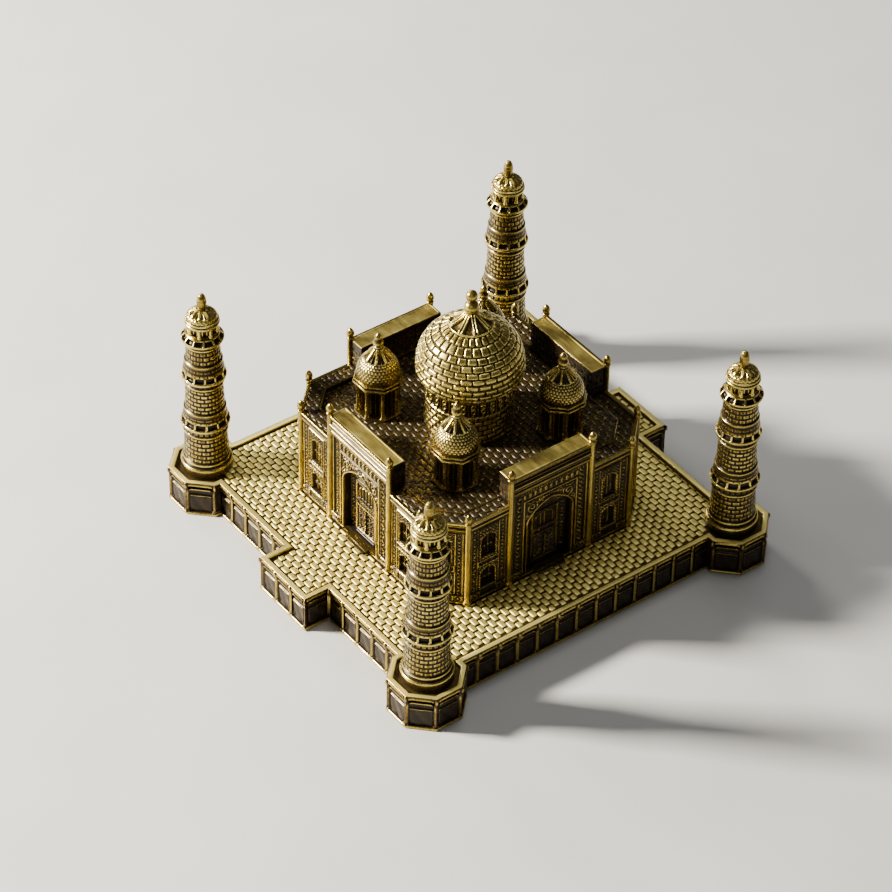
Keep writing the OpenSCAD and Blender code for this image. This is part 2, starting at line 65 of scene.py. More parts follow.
# Levels and places, from the frame
FOOT_Z, RIM_Z = (corner[2] for corner in span("plinth"))
DECK_Z = span("minaret_front_left")[0][2]
ROOF_Z = span("roof_plate")[1][2]
MINARET_AT = np.mean([corner[0] for corner in span("minaret_front_right")])
KIOSK_AT = np.mean([corner[0] for corner in span("kiosk_front_right")])
DRUM_TOP = span("drum")[1][2]
DOME_TOP = span("dome")[1][2]
DOME_R = span("dome")[1][0]
CAP_Z = span("minaret_front_left")[1][2]
CAP_H = span("minaret_cap_front_left")[1][2] - CAP_Z
SPIGOT_H = 2.5
EAVE_H = 1.5
KIOSK_DOME_Z = span("kiosk_dome_front_left")[0][2] + SPIGOT_H
EAVE_Z = KIOSK_DOME_Z - ROOF_Z - EAVE_H
FINIAL_H = span("dome_finial")[1][2] - DOME_TOP

# Plinth
WALL_HALF = 52.3
BASTION = 9.7
BAY_HALF = 10.1
FLANGE = 0.2
BAY_Y = span("plinth")[1][1] - FLANGE
RIM_W = 1.5
DECK_EDGE = 2.2
POST_W = 1.1
PANEL_PITCH = 6.4

# Bricks: length and width, and how deep the joints between them are
BRICK_DECK = (3.17, 1.76)
DECK_JOINT = 0.42
BRICK_ROOF = (2.94, 1.79)
ROOF_JOINT = 0.35
# Smallest area of a cut brick that is still cast
SMALLEST_BRICK = 0.9
# No bricks stand nearer than this to the axis of a minaret or of the drum
UNDER_TOWER = 6.6
UNDER_DRUM = 9.5

# Hall
HALL_HALF = 35.3
HALL_CORNER = 26.5
HALL_TOP = ROOF_Z + 1.2
PORTAL_HALF = 13.1
PORTAL_H = 35.2
PORTAL_DEPTH = 5.0
# Half the width, the springing and the rise of the niche
NICHE = (7.1, 17.3, 5.9)
CORNER_POST = (0.8, 27.3)
PORTAL_POST = (0.85, PORTAL_H + 0.2)

# Drum and dome, with the number of bricks in a row
DRUM_R = 11.9
DRUM_BRICKS = 28
DOME_BRICKS = 26


# ---------------------------------------------------------------- meshes

class Shape:
    """Collects points, faces and wear in mm, and makes one mesh object of them."""

    def __init__(self):
        self.points, self.wear, self.faces, self.count = [], [], [], 0

    def add(self, points, faces, wear):
        points = np.asarray(points, float).reshape(-1, 3)
        self.points.append(points)
        self.wear.append(np.broadcast_to(np.asarray(wear, float).ravel(), len(points)))
        self.faces += [np.asarray(block) + self.count for block in faces]
        self.count += len(points)

    def build(self, name, material, sharp):
        mesh = bpy.data.meshes.new(name)
        points = np.concatenate(self.points) * MM
        sizes = np.concatenate([np.full(len(block), block.shape[1]) for block in self.faces])
        loops = np.concatenate([block.ravel() for block in self.faces])
        mesh.vertices.add(len(points))
        mesh.vertices.foreach_set("co", points.ravel())
        mesh.loops.add(len(loops))
        mesh.loops.foreach_set("vertex_index", loops)
        mesh.polygons.add(len(sizes))
        mesh.polygons.foreach_set("loop_start", np.concatenate([[0], np.cumsum(sizes)[:-1]]))
        mesh.update(calc_edges=True)
        mesh.validate()
        wear = mesh.attributes.new("wear", "FLOAT", "POINT")
        wear.data.foreach_set("value", np.concatenate(self.wear).astype(np.float32))
        mesh.polygons.foreach_set("use_smooth", np.ones(len(mesh.polygons), bool))
        mesh.set_sharp_from_angle(angle=math.radians(sharp))
        mesh.materials.append(material)
        return mesh


def add_object(name, data):
    thing = bpy.data.objects.new(name, data)
    bpy.context.scene.collection.objects.link(thing)
    return thing


def place_piece(name, mesh, node, slot, offset=(0, 0, 0)):
    """Puts a mesh into the scene at an offset in mm, in place of a CAD node if one is named."""
    piece = add_object(name, mesh)
    piece.location = Vector(offset) * MM
    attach(piece, "root")
    if node:
        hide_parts(node)


def place_cast(name, shape, material, node, slot, sharp=62):
    """Builds a shape and puts it into the scene as a piece of the same name."""
    place_piece(name, shape.build(name, material, sharp), node, slot)


def place_on_corners(at, *parts):
    """Puts each part, (name, mesh, node, slot, z), over its four nodes, at +-at in x and in y; slot is not
    used.
    """
    for place, (x, y) in CORNERS.items():
        for name, mesh, node, slot, z in parts:
            place_piece(f"{name}_{place}", mesh, f"{node}_{place}", slot, (x * at, y * at, z))


def grid_faces(rows, cols, wrap=False):
    """Quads of a grid of points, and with wrap the last column meets the first."""
    i, j = np.meshgrid(np.arange(rows - 1), np.arange(cols if wrap else cols - 1), indexing="ij")
    a, b = i * cols + j, i * cols + (j + 1) % cols
    return np.stack([a, b, b + cols, a + cols], -1).reshape(-1, 4)


def blur(field, passes, wrap=False):
    """Smooths a grid by a number of 1-2-1 passes along both of its directions."""
    for _ in range(passes):
        padded = np.concatenate([field[:1], field, field[-1:]], 0)
        field = (padded[:-2] + 2 * padded[1:-1] + padded[2:]) / 4
        if wrap:
            field = (np.roll(field, 1, 1) + 2 * field + np.roll(field, -1, 1)) / 4
        else:
            padded = np.concatenate([field[:, :1], field, field[:, -1:]], 1)
            field = (padded[:, :-2] + 2 * padded[:, 1:-1] + padded[:, 2:]) / 4
    return field


def grid_wear(points, wrap=False, passes=8, scale=0.07):
    """How far each point of a grid stands out of its smoothed neighbourhood, from -1 to 1."""
    across = np.roll(points, -1, 1) - np.roll(points, 1, 1)
    if not wrap:
        across[:, 0], across[:, -1] = across[:, 1], across[:, -2]
    normal = np.cross(across, np.gradient(points, axis=0))
    normal /= np.linalg.norm(normal, axis=-1, keepdims=True) + 1e-9
    stands = np.sum((points - blur(points, passes, wrap)) * normal, -1)
    return np.clip(stands / scale, -1, 1)


# ---------------------------------------------------------------- relief functions

def ramp(x, edge=0.0, soft=0.3):
    """0 below the edge and 1 above it, with a smooth step as wide as soft."""
    t = np.clip((x - edge) / soft + 0.5, 0, 1)
    return t * t * (3 - 2 * t)


def inside(distance, soft=0.3):
    """1 where a signed distance is negative, and 0 where it is positive."""
    return 1 - ramp(distance, 0, soft)


def strip(z, z0, z1):
    """Signed distance to the strip from z0 to z1, negative inside."""
    return np.abs(z - (z0 + z1) / 2) - (z1 - z0) / 2


def rectangle(u, z, half, z0, z1):
    """Signed distance to a rectangle, negative inside."""
    return np.maximum(np.abs(u) - half, strip(z, z0, z1))


def turn_share(angle, count, shift=0.0):
    """Where an angle lies within its share of a turn parted into count, from -0.5 to 0.5."""
    return (angle * count / (2 * np.pi) + shift) % 1 - 0.5


def carve(height, mask, level):
    """Brings a relief to a level where the mask is 1."""
    return height + (level - height) * mask


def mouldings(height, z, bars):
    """Lays level bars, given as (foot, head, height of the relief), across a relief."""
    for z0, z1, proud in bars:
        height = carve(height, inside(strip(z, z0, z1)), proud)
    return height


def arch_curve(share):
    """Height of a flat pointed arch, as a share of its rise, at -1 to 1 across its opening."""
    return 0.68 * np.sqrt(1 - share ** 2) + 0.32 * (1 - np.abs(share))


def arch_line(half, spring, rise, count=24):
    """Points of an arch, from the foot of one jamb over the crown to the other."""
    share = np.sin(np.linspace(-np.pi / 2, np.pi / 2, count))
    line = np.stack([half * share, spring + rise * arch_curve(share)], 1)
    return np.concatenate([[[-half, -5]], line, [[half, -5]]])


def path_distance(u, z, path):
    """Distance to a line through points."""
    best = np.full(np.shape(u), 1e9)
    for a, b in zip(path[:-1], path[1:]):
        run = b - a
        t = np.clip(((u - a[0]) * run[0] + (z - a[1]) * run[1]) / max(run @ run, 1e-9), 0, 1)
        best = np.minimum(best, np.hypot(u - a[0] - t * run[0], z - a[1] - t * run[1]))
    return best


def arch(u, z, half, spring, rise):
    """Signed distance to an arched opening, negative inside."""
    top = spring + rise * arch_curve(np.clip(np.abs(u) / half, 0, 1))
    distance = path_distance(u, z, arch_line(half, spring, rise))
    return np.where((np.abs(u) < half) & (z < top), -distance, distance)


def foliage(u, v, pitch):
    """Close-set leaves that lean left and right by turns, with berries between, from 0 to 1."""
    i, j = np.floor(u / pitch), np.floor(v / pitch)
    du, dv = u / pitch - i - 0.5, v / pitch - j - 0.5
    lean = np.where((i + j) % 2 < 1, 1, -1)
    long, short = (du + lean * dv) * 0.707, (dv - lean * du) * 0.707
    leaf = inside((np.hypot(long, 2.1 * short) - 0.44) * pitch, 0.25)
    leaf = leaf * (1 - 0.5 * inside(np.abs(short) * pitch - 0.05, 0.15))
    berry = inside((np.hypot(np.abs(du) - 0.5, np.abs(dv) - 0.5) - 0.17) * pitch, 0.2)
    return np.maximum(leaf, berry)


def cushion(du, dv, joint, round_off):
    """Height of a brick from 0 in its joints to 1, by the distances to its nearest ends and sides."""
    edge = np.clip((np.stack([du, dv]) - joint) / round_off, 0, 1)
    edge = 1 - np.hypot(1 - edge[0], 1 - edge[1])
    return np.sqrt(np.clip(edge * (2 - edge), 0, 1))


def bricks(u, v, length, rows, joint=0.16, round_off=0.45, salt=0):
    """Running-bond bricks as a height from 0 in the joints to about 1, on an unrolled surface.

    u is the distance along a row, and rows holds the edges of the rows across v.
    """
    rows = np.asarray(rows, float)
    row = np.clip(np.searchsorted(rows, v, side="right") - 1, 0, len(rows) - 2)
    place = u / length + 0.5 * (row % 2)
    number = np.floor(place).astype(int)
    du = (0.5 - np.abs(place - number - 0.5)) * length
    dv = np.minimum(v - rows[row], rows[row + 1] - v)
    jitter = np.random.default_rng(salt).uniform(-1, 1, (len(rows), 97, 3))[row, number % 97]
    tilt = jitter[..., 1] * (place - number - 0.5) + jitter[..., 2] * (v - rows[row] - 0.9) / 4
    return cushion(du, dv, joint, round_off) * (1 + 0.16 * jitter[..., 0] + 0.3 * tilt)


# ---------------------------------------------------------------- surfaces

def wall(a, b, turn_a=0.0, turn_b=0.0):
    """A vertical wall from plan point a to b, a on the left seen from outside.

    Returns its length and place(u, out, z), which mitres what stands out at both ends.
    """
    a, b = np.array(a, float), np.array(b, float)
    length = np.linalg.norm(b - a)
    along = (b - a) / length
    outward = np.array([along[1], -along[0]])

    def place(u, out, z):
        share = u / length
        s = u + out * (share * math.tan(turn_b / 2) - (1 - share) * math.tan(turn_a / 2))
        return np.stack([a[0] + along[0] * s + outward[0] * out,
                         a[1] + along[1] * s + outward[1] * out, z + 0 * u], -1)
    return length, place


def walls_of(outline):
    """The walls of a closed outline that runs anticlockwise seen from above."""
    outline = np.array(outline, float)
    edges = np.roll(outline, -1, 0) - outline
    heading = np.arctan2(edges[:, 1], edges[:, 0])
    turns = (heading - np.roll(heading, 1) + np.pi) % (2 * np.pi) - np.pi
    for i, a in enumerate(outline):
        j = (i + 1) % len(outline)
        yield wall(a, outline[j], turns[i], turns[j])


def relief(shape, place, u_range, z_range, height, step=0.18, tops=(), feet=(), dark=0.0):
    """A grid on a wall whose points stand out by height(u, z).

    tops and feet are (out, z) rows that fold the grid over the wall's top and under its foot.
    """
    u = np.linspace(*u_range, max(2, math.ceil((u_range[1] - u_range[0]) / step) + 1))
    z = np.linspace(*z_range, max(2, math.ceil((z_range[1] - z_range[0]) / step) + 1))
    u_grid, z_grid = np.meshgrid(u, z)
    out = height(u_grid, z_grid)
    below, above = (np.repeat(np.reshape(fold, (-1, 2, 1)), len(u), 2) for fold in (feet, tops))
    rows = np.concatenate([below, np.stack([out, z_grid], 1), above])
    points = place(np.broadcast_to(u, rows[:, 0].shape), rows[:, 0], rows[:, 1])
    wear = grid_wear(points) + np.clip(rows[:, 0], -2, 0) * 0.1 - dark
    shape.add(points, [grid_faces(*points.shape[:2])], np.clip(wear, -1, 1))


def planes_of(outline):
    """Outward normals and offsets of the sides of an anticlockwise outline."""
    outline = np.array(outline, float)
    edges = np.roll(outline, -1, 0) - outline
    normals = np.stack([edges[:, 1], -edges[:, 0]], 1) / np.linalg.norm(edges, axis=1)[:, None]
    return normals, np.sum(normals * outline, 1)


def offset_outline(outline, out):
    """The outline with every side moved outwards, and its corners mitred."""
    after = planes_of(outline)[0]
    before = np.roll(after, 1, 0)
    return outline + out * (before + after) / (1 + np.sum(before * after, 1))[:, None]


def past_sides(point, outline):
    """How far a point lies past the nearest side of a convex outline, negative inside."""
    normals, offsets = planes_of(outline)
    return np.max(normals @ point - offsets)


def sweep(shape, outline, profile, wear, top=False):
    """Carries a profile of (out, z) points round an outline; top closes it with a flat face."""
    rings = [np.column_stack([offset_outline(outline, out), np.full(len(outline), z)])
             for out, z in profile]
    points = np.array(rings)
    faces = [grid_faces(len(profile), len(outline), wrap=True)]
    if top:
        faces.append((len(profile) - 1) * len(outline) + np.arange(len(outline))[None])
    shape.add(points, faces, np.repeat(np.broadcast_to(wear, len(profile)), len(outline)))


def bed(shape, outline, z):
    """The dark floor at the bottom of the joints between bricks."""
    shape.add(np.column_stack([outline, np.full(len(outline), z)]), [np.arange(len(outline))[None]], -1)


def slab(shape, outline, z0, z1, bevel=0.12, wear=0.4):
    """A plain block with worn upper edges."""
    sweep(shape, outline, [(0, z0), (0, z1 - bevel), (-0.3 * bevel, z1 - 0.3 * bevel), (-bevel, z1)],
          [-0.4, wear, wear + 0.4, wear + 0.2], top=True)


def travel_along(profile):
    """Distance from a profile's first point to each of its points."""
    return np.concatenate([[0], np.cumsum(np.linalg.norm(np.diff(profile, axis=0), axis=1))])


def turned(shape, profile, detail=None, around=240, step=0.16, soften=1, centre=(0, 0), lift=0.0):
    """Spins a profile of (r, z) points, with detail(angle, z, distance along the profile) on it."""
    profile = np.array(profile, float)
    travel = travel_along(profile)
    s = np.linspace(0, travel[-1], max(3, math.ceil(travel[-1] / step) + 1))
    line = np.stack([np.interp(s, travel, profile[:, k]) for k in (0, 1)], 1)
    for _ in range(soften):
        line[1:-1] = (line[:-2] + 2 * line[1:-1] + line[2:]) / 4
    run = np.gradient(line, axis=0)
    run /= np.linalg.norm(run, axis=1)[:, None] + 1e-9
    angle = np.arange(around) * 2 * np.pi / around
    out = np.zeros((len(s), around))
    if detail:
        out = detail(*np.broadcast_arrays(angle[None], line[:, 1:], s[:, None]))
    r = np.maximum(line[:, :1] + out * run[:, 1:], 0.001)
    z = line[:, 1:] - out * run[:, :1]
    points = np.stack([centre[0] + r * np.cos(angle), centre[1] + r * np.sin(angle), z + lift], -1)
    shape.add(points, [grid_faces(len(s), around, wrap=True)],
              np.clip(grid_wear(points, wrap=True) + np.clip(out, -1, 0) * 0.4, -1, 1))


def bezier(a, b, c, d, count=14):
    t = np.linspace(0, 1, count)[:, None]
    a, b, c, d = (np.array(p, float) for p in (a, b, c, d))
    return a * (1 - t) ** 3 + 3 * b * t * (1 - t) ** 2 + 3 * c * t ** 2 * (1 - t) + d * t ** 3


def onion(r0, rm, zm, r1, h, swell):
    """Outline of an onion dome: foot r0, bulge rm at height zm, neck r1 at height h."""
    foot = bezier((r0, 0), (r0 + 0.65 * (rm - r0), 0.3 * zm), (rm, 0.62 * zm), (rm, zm))
    cap = bezier((rm, zm), (rm, zm + swell[0] * (h - zm)),
                 (r1 + swell[1] * (rm - r1), zm + swell[2] * (h - zm)), (r1, h))
    return np.concatenate([foot[:-1], cap])


# ---------------------------------------------------------------- flat brickwork

def cut(polygon, normal, offset):
    """The part of a convex polygon where normal . p is at most offset."""
    kept = []
    for a, b in zip(polygon, np.roll(polygon, -1, 0)):
        da, db = a @ normal - offset, b @ normal - offset
        if da <= 0:
            kept.append(a)
        if da * db < 0:
            kept.append(a + (b - a) * da / (da - db))
    return np.array(kept).reshape(-1, 2)


def clip_in(polygon, outline):
    """The part of a convex polygon inside a convex outline."""
    for normal, offset in zip(*planes_of(outline)):
        if len(polygon) > 2:
            polygon = cut(polygon, normal, offset)
    return polygon


def clip_out(polygon, outline):
    """What lies beyond the side of a convex outline that the polygon is furthest past."""
    if len(polygon) < 3:
        return polygon
    normals, offsets = planes_of(outline)
    side = np.argmax(normals @ polygon.mean(0) - offsets)
    return cut(polygon, -normals[side], -offsets[side])


def area(polygon):
    if len(polygon) < 3:
        return 0.0
    x, y = polygon.T
    return 0.5 * (x @ np.roll(y, -1) - y @ np.roll(x, -1))


def corner_ring(polygon, inset, cut_off):
    """A convex polygon moved inwards with its corners cut, as twice as many points."""
    ring = offset_outline(polygon, -inset)
    ahead = np.roll(ring, -1, 0) - ring
    length = np.linalg.norm(ahead, axis=1)[:, None]
    share = np.minimum(cut_off / (length + 1e-9), 0.4)
    return np.stack([ring + ahead * share, ring + ahead * (1 - share)], 1).reshape(-1, 2)


def pillow(shape, polygon, z_base, z_top, lift=0.0):
    """One cast brick: steep flanks, rounded shoulders and a slightly tilted crown."""
    x, y = polygon.T
    edges = np.linalg.norm(np.roll(polygon, -1, 0) - polygon, axis=1)
    # Very short sides are dropped
    polygon = polygon[edges > 0.12]
    if area(polygon) < SMALLEST_BRICK:
        return
    reach = min(np.ptp(x), np.ptp(y)) / 2
    height = z_top - z_base
    tilt = RNG.normal(0, 0.022, 2)
    middle = polygon.mean(0)
    rings = []
    # Inset, cut of the corners, and share of the height of each ring
    for inset, corner, level in ((0.04, 0.1, 0), (0.1, 0.18, 0.55), (0.2, 0.24, 0.84),
                                 (0.38, 0.3, 0.97), (0.62, 0.3, 1.0)):
        inset = min(inset, 0.8 * reach)
        ring = corner_ring(polygon, inset, corner)
        z = z_base + height * level + (ring - middle) @ tilt * level + lift * level
        rings.append(np.column_stack([ring, z]))
    sides = len(rings[0])
    cap = (len(rings) - 1) * sides + np.arange(sides)[None]
    shape.add(np.array(rings), [grid_faces(len(rings), sides, wrap=True), cap],
              np.repeat([-1, -0.3, 0.55, 0.5, 0.35], sides))


def brickwork(shape, brick, reach, keep, z_base, z_top, shift=(0, 0), end_gap=0.0):
    """Running-bond bricks out to reach on all sides; keep(polygon) returns what is left of each."""
    length, width = brick
    for j in range(math.floor(-reach / width), math.ceil(reach / width) + 1):
        for i in range(math.floor(-reach / length), math.ceil(reach / length) + 1):
            x = (i + 0.5 * (j % 2)) * length + shift[0]
            y = j * width + shift[1]
            left = keep(box_outline(x + end_gap, x + length - end_gap, y, y + width))
            if area(left) > SMALLEST_BRICK:
                pillow(shape, left, z_base, z_top, RNG.normal(0, 0.015))


# ---------------------------------------------------------------- outlines

def octagon(apothem, centre=(0, 0)):
    """Outline of an octagon with its flat sides square to the axes."""
    turns = np.radians(22.5 + 45 * np.arange(8))
    radius = apothem / math.cos(math.pi / 8)
    return np.stack([centre[0] + radius * np.cos(turns), centre[1] + radius * np.sin(turns)], 1)


def box_outline(x0, x1, y0, y1):
    return np.array([[x0, y0], [x1, y0], [x1, y1], [x0, y1]], float)


def turn_plan(points, degrees):
    """Plan points turned anticlockwise about the origin."""
    c, s = math.cos(math.radians(degrees)), math.sin(math.radians(degrees))
    return np.asarray(points, float) @ np.array([[c, s], [-s, c]])


def hall_outline(inset=0.0):
    """The hall's chamfered square, moved inwards."""
    corner = HALL_CORNER - inset * math.tan(math.pi / 8)
    half = HALL_HALF - inset
    side = [(-corner, -half), (corner, -half)]
    return np.concatenate([turn_plan(side, turn) for turn in QUARTERS])


def portal_plan(turn):
    return turn_plan(box_outline(-PORTAL_HALF, PORTAL_HALF, -HALL_HALF, -HALL_HALF + PORTAL_DEPTH), turn)


def plinth_outline():
    """Anticlockwise outline, and for each side the places of its posts, or None if it is plain."""
    end = MINARET_AT - BASTION
    lean = math.tan(math.pi / 8)
    posts = (np.arange(-6, 6) + 0.5) * PANEL_PITCH
    left = posts[posts < -BAY_HALF - 1]
    points, rows = [], []

    def side(point, row, turn):
        points.append(turn_plan([point], turn)[0])
        rows.append(row)

    for turn in QUARTERS:
        if turn % 180 == 0:
            side((-end, -WALL_HALF), np.concatenate([[-1], left + end, [end - BAY_HALF]]), turn)
            side((-BAY_HALF, -WALL_HALF), np.array([0, BAY_Y - WALL_HALF]), turn)
            side((-BAY_HALF, -BAY_Y), np.arange(4) * 2 * BAY_HALF / 3, turn)
            side((BAY_HALF, -BAY_Y), np.array([0, BAY_Y - WALL_HALF]), turn)
            side((BAY_HALF, -WALL_HALF),
                 np.concatenate([[0], -left[::-1] - BAY_HALF, [end - BAY_HALF + 1]]), turn)
        else:
            side((-end, -WALL_HALF), np.concatenate([[-1], posts + end, [2 * end + 1]]), turn)
        side((end, -WALL_HALF), None, turn)
        middle = np.array([MINARET_AT, -MINARET_AT])
        for corner in ((-1, -lean), (-lean, -1), (lean, -1), (1, -lean), (1, lean)):
            side(middle + BASTION * np.array(corner), np.array([0, 2 * BASTION * lean]), turn)
        side(middle + BASTION * np.array([lean, 1]), None, turn)
    return np.array(points), rows


# ---------------------------------------------------------------- plinth

def plinth_relief(row):
    """Height of a plinth wall with posts at row: flange, plaques, handles, slots and corbels.

    Levels are taken from the deck. A wall without posts has the flange and one sunken field.
    """
    def height(u, z):
        z = z - DECK_Z
        if row is None:
            return FLANGE * inside(z + DECK_Z - 0.9) - 0.25 * inside(strip(z, -8.9, -1))
        gap = np.min([np.abs(u - post) for post in row], 0) - POST_W / 2
        out = carve(0.0 * u, inside(0.05 - gap, 0.35) * inside(np.abs(z + 4.8) - 4.3, 0.2), -0.85)
        out = out - 0.18 * ramp(gap + POST_W / 2, 0.2, 0.5) * inside(gap, 0.2)
        plaque = np.maximum(0.3 - gap, z + 3.75)
        out = carve(out, inside(plaque, 0.45), -0.55 + 0.05 * np.sin(1.7 * u + z))
        out = out + 0.2 * inside(np.maximum(np.abs(z + 4.02) - 0.18, 0.45 - gap), 0.25)
        # Each recess is closed at the top by a bowed handle with a dark slot under the rim
        bow = 0.6 * np.clip(1 - np.clip(gap - 0.1, 0, 9) / 1.1, 0, 1) ** 2
        handle = inside(np.maximum(0.15 - gap, np.abs(z + 1.75 + bow) - 0.26), 0.22)
        out = carve(out, handle, -0.15)
        slot = np.maximum(0.5 - gap, np.abs(z + 0.85 + 0.7 * bow) - 0.5)
        out = carve(out, inside(slot, 0.3), -1.15)
        brow = np.maximum(0.25 - gap, np.abs(z + 0.1 + 0.8 * bow) - 0.3)
        out = carve(out, inside(brow, 0.3), 0.22)
        corbel = inside(np.hypot(np.maximum(gap + 0.45, 0) * 1.1, (z + 0.55) * 0.5) - 0.42, 0.35)
        out = carve(out, corbel, 0.4)
        return carve(out, inside(z + DECK_Z - 0.85, 0.2), FLANGE)
    return height


def make_plinth(material, wall_material):
    outline, rows = plinth_outline()
    walls = list(walls_of(outline))
    folds = [(-0.02, RIM_Z - 0.12), (-0.1, RIM_Z - 0.03), (-0.22, RIM_Z)]
    # Front and back sides have four walls more than the others, because of their bays
    start = 0
    for name, turn in SIDES.items():
        shape = Shape()
        count = 12 if turn % 180 == 0 else 8
        for (length, place), row in list(zip(walls, rows))[start:start + count]:
            relief(shape, place, (0, length), (FOOT_Z, RIM_Z - 0.25), plinth_relief(row), 0.17,
                   tops=folds, feet=[(-2.6, FOOT_Z)])
        start += count
        place_cast("plinth_wall_" + name, shape, wall_material, None, "antique_brass", 50)
    shape = Shape()
    base = DECK_Z - DECK_JOINT
    sweep(shape, outline, [(-0.2, RIM_Z), (-0.5, RIM_Z + 0.02), (-RIM_W + 0.25, RIM_Z),
                           (-RIM_W + 0.07, RIM_Z - 0.08), (-RIM_W, RIM_Z - 0.25), (-RIM_W, base)],
          [0.75, 0.8, 0.8, 0.9, 0.3, -0.9])
    bed(shape, offset_outline(outline, -RIM_W + 0.02), base)
    inner = WALL_HALF - DECK_EDGE
    bay_x, bay_y = BAY_HALF - DECK_EDGE, BAY_Y - DECK_EDGE
    regions = [box_outline(-inner, inner, -inner, inner), box_outline(-bay_x, bay_x, -bay_y, bay_y)]
    regions += [octagon(BASTION - DECK_EDGE, np.array(c) * MINARET_AT) for c in CORNERS.values()]
    hall = offset_outline(hall_outline(), 0.5)

    def keep(polygon):
        # No bricks stand under a minaret, nor on the outer part of its bastion
        middle = polygon.mean(0)
        from_tower = np.abs(middle) - MINARET_AT
        if np.hypot(*from_tower) < (BASTION - DECK_EDGE + 1 if max(from_tower) > 0 else UNDER_TOWER):
            return polygon[:0]
        beyond = past_sides(middle, hall)
        if beyond < -BRICK_DECK[0]:
            return polygon[:0]
        if beyond < BRICK_DECK[0]:
            polygon = clip_out(polygon, hall)
        return max((clip_in(polygon, region) for region in regions), key=area)

    brickwork(shape, BRICK_DECK, BAY_Y, keep, base, DECK_Z, shift=(0.4, 0.3), end_gap=0.17)
    place_cast("plinth_deck", shape, material, "plinth", "antique_brass", 60)


# ---------------------------------------------------------------- hall

def window(out, u, z, half, z0, spring, rise, bars):
    """Cuts an arched window with bars and a frame into a relief."""
    hole = np.maximum(arch(u, z - z0, half, spring, rise), z0 - z)
    out = np.maximum(out, 0.18 * inside(np.abs(hole - 0.3) - 0.22, 0.25) + np.minimum(out, 0))
    out = carve(out, inside(hole), -1.35)
    width = 2 * half / (bars + 1)
    lattice = width / 2 - np.abs((u + half) % width - width / 2)
    bar = inside(np.maximum(lattice - 0.17, hole + 0.1), 0.25)
    rail = inside(np.maximum(np.abs(z - z0 - 0.55 * spring) - 0.2, hole + 0.1), 0.25)
    return carve(out, np.maximum(bar, rail), -0.8)


def wing_relief(middle, half):
    """Two storeys of windows in carved frames, between a dado and a cornice."""
    def height(u, z):
        u, z = u - middle, z - DECK_Z
        field = half - 1.5
        out = carve(0.0 * u, inside(rectangle(u, z, field, 2.7, 24.2)), -0.4)
        strips = np.maximum(np.abs(np.abs(u) - field + 0.75) - 0.6, np.abs(z - 13.4) - 10.6)
        out = out + 0.38 * inside(strips, 0.2) * foliage(np.abs(u) - field + 0.15, z, 1.2)
        line = np.abs(rectangle(u, z, field - 1.75, 3.0, 23.6)) - 0.2
        out = out + 0.34 * inside(line, 0.25)
        out = out + 0.34 * inside(rectangle(u, z, field - 2.05, 3.2, 23.3), 0.2) * foliage(u, z, 1.05)
        out = window(out, u, z, field - 3.0, 13.4, 5.9, 1.8, 3)
        out = window(out, u, z, field - 3.0, 3.3, 4.6, 1.7, 2)
        band = rectangle(u, z, field - 2.0, 10.9, 12.5)
        out = carve(out, inside(np.abs(band) - 0.2, 0.2), 0.1)
        dado = rectangle(u, z, half - 1.0, 0.8, 2.6)
        block = np.abs(np.abs(u) - 0.62 * half) - 0.25 * half
        out = out + inside(np.maximum(dado, block), 0.25) * 0.3
        floret = np.hypot(np.abs(u) - 0.62 * half, z - 1.7)
        out = out - 0.28 * inside(np.abs(floret - 0.5) - 0.12, 0.25)
        return mouldings(out, z, [(0, 0.7, 0.35), (24.9, 25.6, 0.3), (26.3, 27.3, 0.35)])
    return height


def post(shape, centre, radius, height):
    """A thin post on the deck, with a ring and a bud on top."""
    bud = [(1.0, 0), (1.25, 0.12), (1.25, 0.5), (0.8, 0.66), (0.95, 0.95), (1.3, 1.5), (1.28, 2.0),
           (0.95, 2.7), (0.45, 3.25), (0.0, 3.5)]
    profile = [(1.3 * radius, 0), (1.3 * radius, 0.6), (radius, 0.8), (radius, height - 0.2)]
    profile += [(r * radius, height + z) for r, z in bud]
    turned(shape, profile, None, 20, 0.2, 1, centre, DECK_Z)


